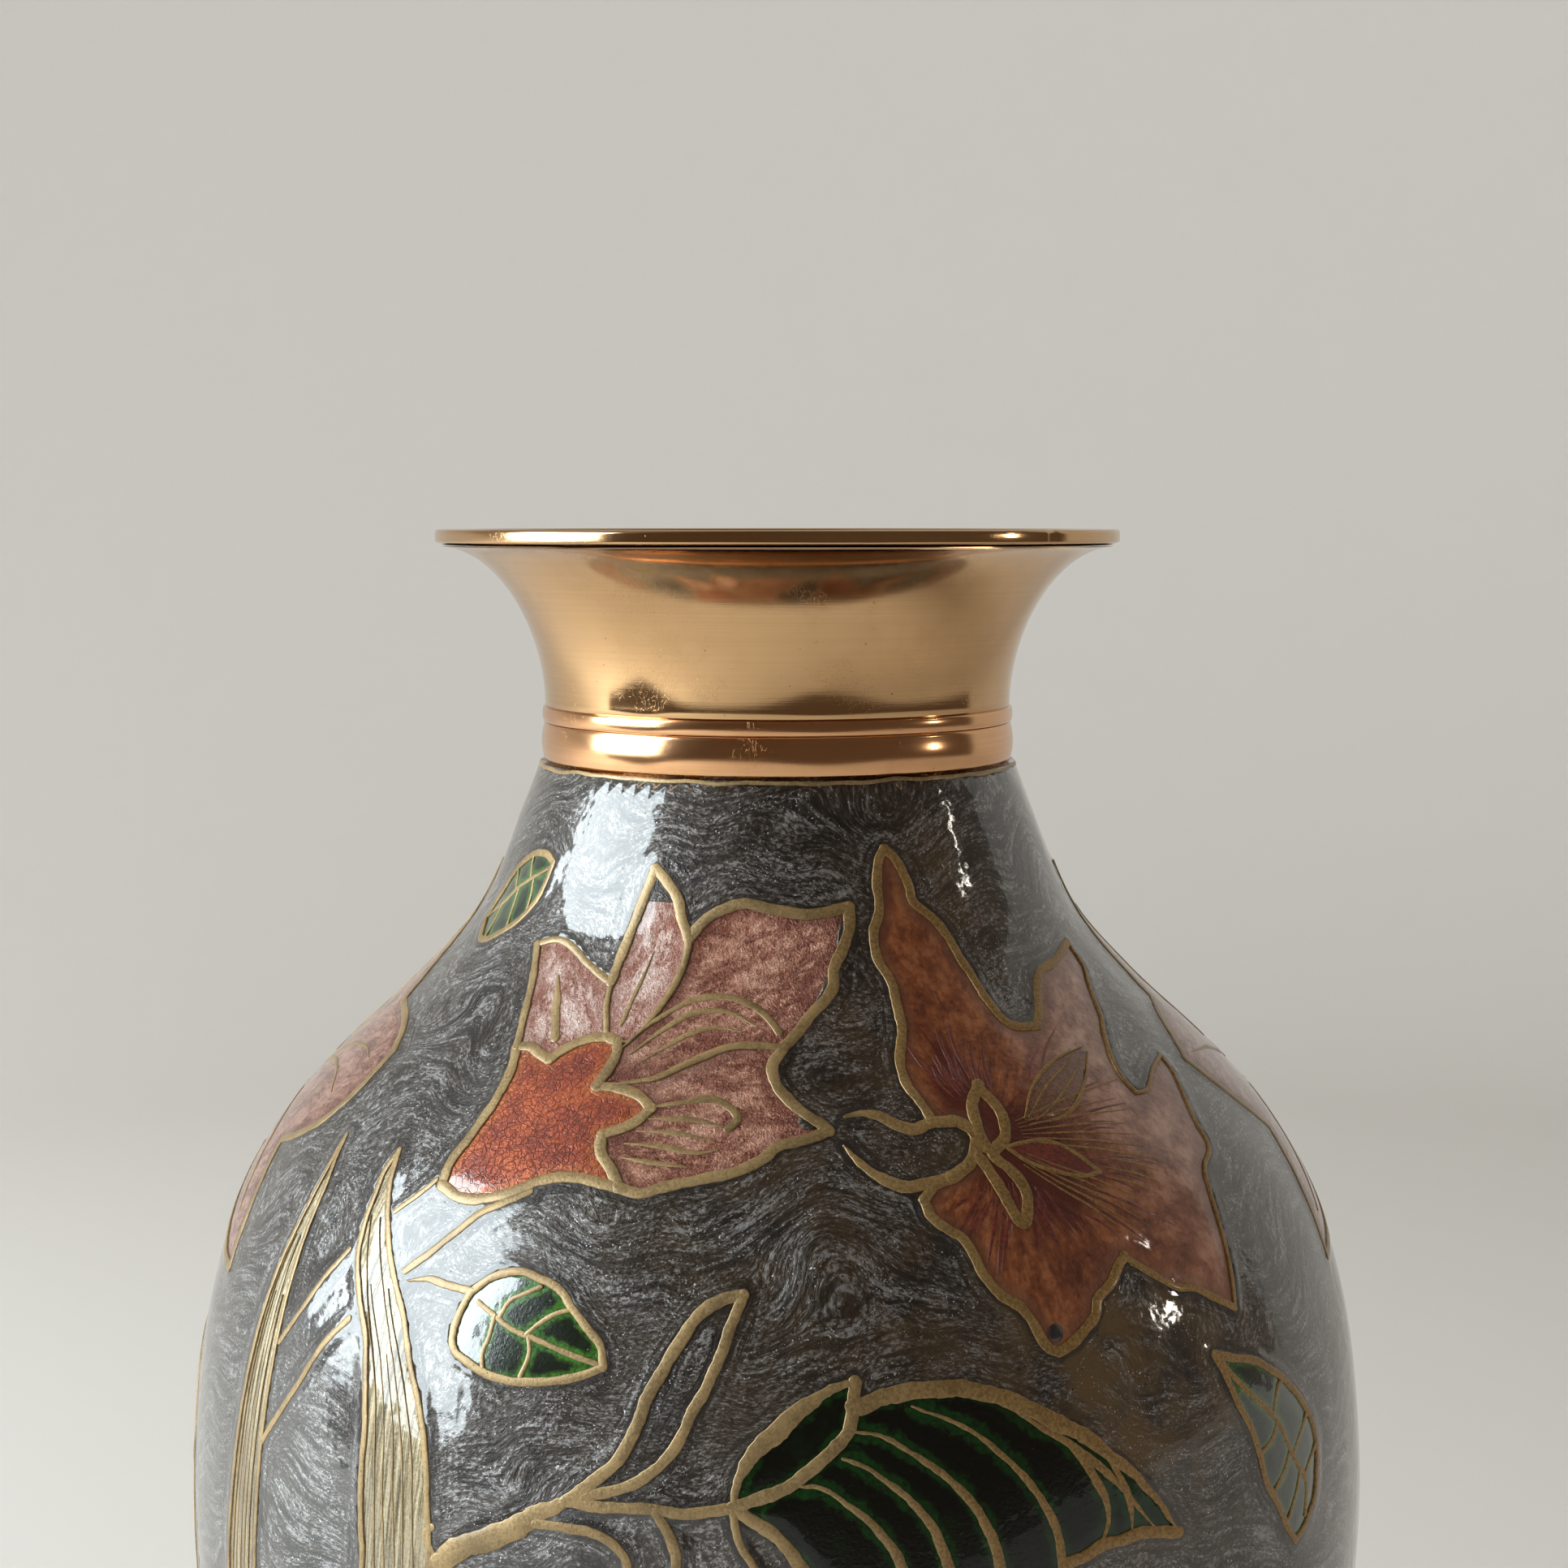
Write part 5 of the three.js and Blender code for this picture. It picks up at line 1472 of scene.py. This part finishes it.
def make_stage():
    """A pale round floor that curves up into a wall on every side."""
    flat_radius, wall_radius, wall_height, count = 800.0, 1450.0, 1500.0, 96
    bend = wall_radius - flat_radius
    line = [(1.0, 0.0), (flat_radius, 0.0)]
    line += [(flat_radius + bend * math.sin(a), bend * (1 - math.cos(a)))
             for a in np.radians(np.linspace(3, 90, 30))]
    line += [(wall_radius, wall_height)]
    turn = np.arange(count) * 2 * math.pi / count
    vertices = [(r * math.sin(a) * MM, -r * math.cos(a) * MM, h * MM) for r, h in line for a in turn]
    mesh = bpy.data.meshes.new("floor_and_backdrop")
    mesh.from_pydata(vertices, [], quads(len(line), count) + [tuple(range(count))])
    mesh.polygons.foreach_set("use_smooth", [True] * len(mesh.polygons))
    mesh.materials.append(Finish("pale_backdrop").shade(Base_Color=BACKDROP_COLOUR, Roughness=0.9))
    stage = add_object("floor_and_backdrop", mesh)
    stage.location.z = -FLOOR_GAP * MM


def towards(azimuth, elevation, distance):
    a, e = math.radians(azimuth), math.radians(elevation)
    return Vector((math.sin(a) * math.cos(e), -math.cos(a) * math.cos(e), math.sin(e))) * distance


def add_light(name, azimuth, elevation, distance, width, height, power, colour):
    """A soft rectangular light that faces the vase's shoulder."""
    data = bpy.data.lights.new(name, "AREA")
    data.shape = "RECTANGLE"
    data.size, data.size_y = width, height
    data.energy, data.color = power, colour
    light = add_object(name, data)
    offset = towards(azimuth, elevation, distance)
    light.location = LIGHT_TARGET + offset
    light.rotation_euler = offset.to_track_quat("Z", "Y").to_euler()
    light.visible_camera = False
    light.visible_glossy = name not in DIFFUSE_LIGHTS


def make_light():
    world = bpy.data.worlds.new("soft_studio")
    bpy.context.scene.world = world
    world.use_nodes = True
    background = world.node_tree.nodes["Background"]
    background.inputs["Color"].default_value = AIR_COLOUR
    background.inputs["Strength"].default_value = AIR_STRENGTH
    for name, settings in LIGHTS.items():
        add_light(name, *settings)


CARD_HEIGHT = 0.15
CARD_EDGE = -4
CARD_BUMPS = ((9, -68, 15), (8, 22, 24))  # depth, azimuth and spread, in degrees


def card_bottom(azimuth):
    """The lower edge of the dark card, in degrees of elevation, with two bumps."""
    bumps = sum(deep * math.exp(-(((azimuth - at) / spread) ** 2)) for deep, at, spread in CARD_BUMPS)
    return CARD_EDGE - bumps


def make_flag():
    """A dark warm card round the front, as in a studio: only the vase's gloss sees it."""
    left, right, high, shoulder, distance = -88, 106, 88, -54, 0.64
    columns, rows = 97, 16
    vertices = []
    for j in range(rows + 1):
        for i in range(columns + 1):
            azimuth = left + (right - left) * i / columns
            low = card_bottom(azimuth)
            top = high if azimuth >= shoulder else 1
            vertices.append(towards(azimuth, low + (top - low) * j / rows, distance))
    mesh = bpy.data.meshes.new("dark_card")
    mesh.from_pydata(vertices, [], quads(rows + 1, columns + 1, ring=False))
    mesh.materials.append(Finish("dark_card").shade(
        Base_Color=(0.01, 0.01, 0.01, 1), Emission_Color=(0.085, 0.055, 0.034, 1), Emission_Strength=1.0,
        Roughness=1.0))
    card = add_object("dark_card", mesh)
    card.location.z = CARD_HEIGHT
    card.visible_camera = card.visible_diffuse = card.visible_shadow = False


CAMERA_LENS, CAMERA_SENSOR = 61.5, 36.0
CAMERA_PLACE = (0.00078, -0.3203, 0.24095)
CAMERA_DOWN = 5.607  # degrees below level


def make_camera():
    data = bpy.data.cameras.new("camera")
    data.lens, data.sensor_width = CAMERA_LENS, CAMERA_SENSOR
    camera = add_object("camera", data)
    camera.location = CAMERA_PLACE
    camera.rotation_euler = (math.radians(90 - CAMERA_DOWN), 0, 0)
    bpy.context.scene.camera = camera


make_stage()
make_light()
make_flag()
make_camera()
bpy.context.scene.view_settings.view_transform = "Standard"
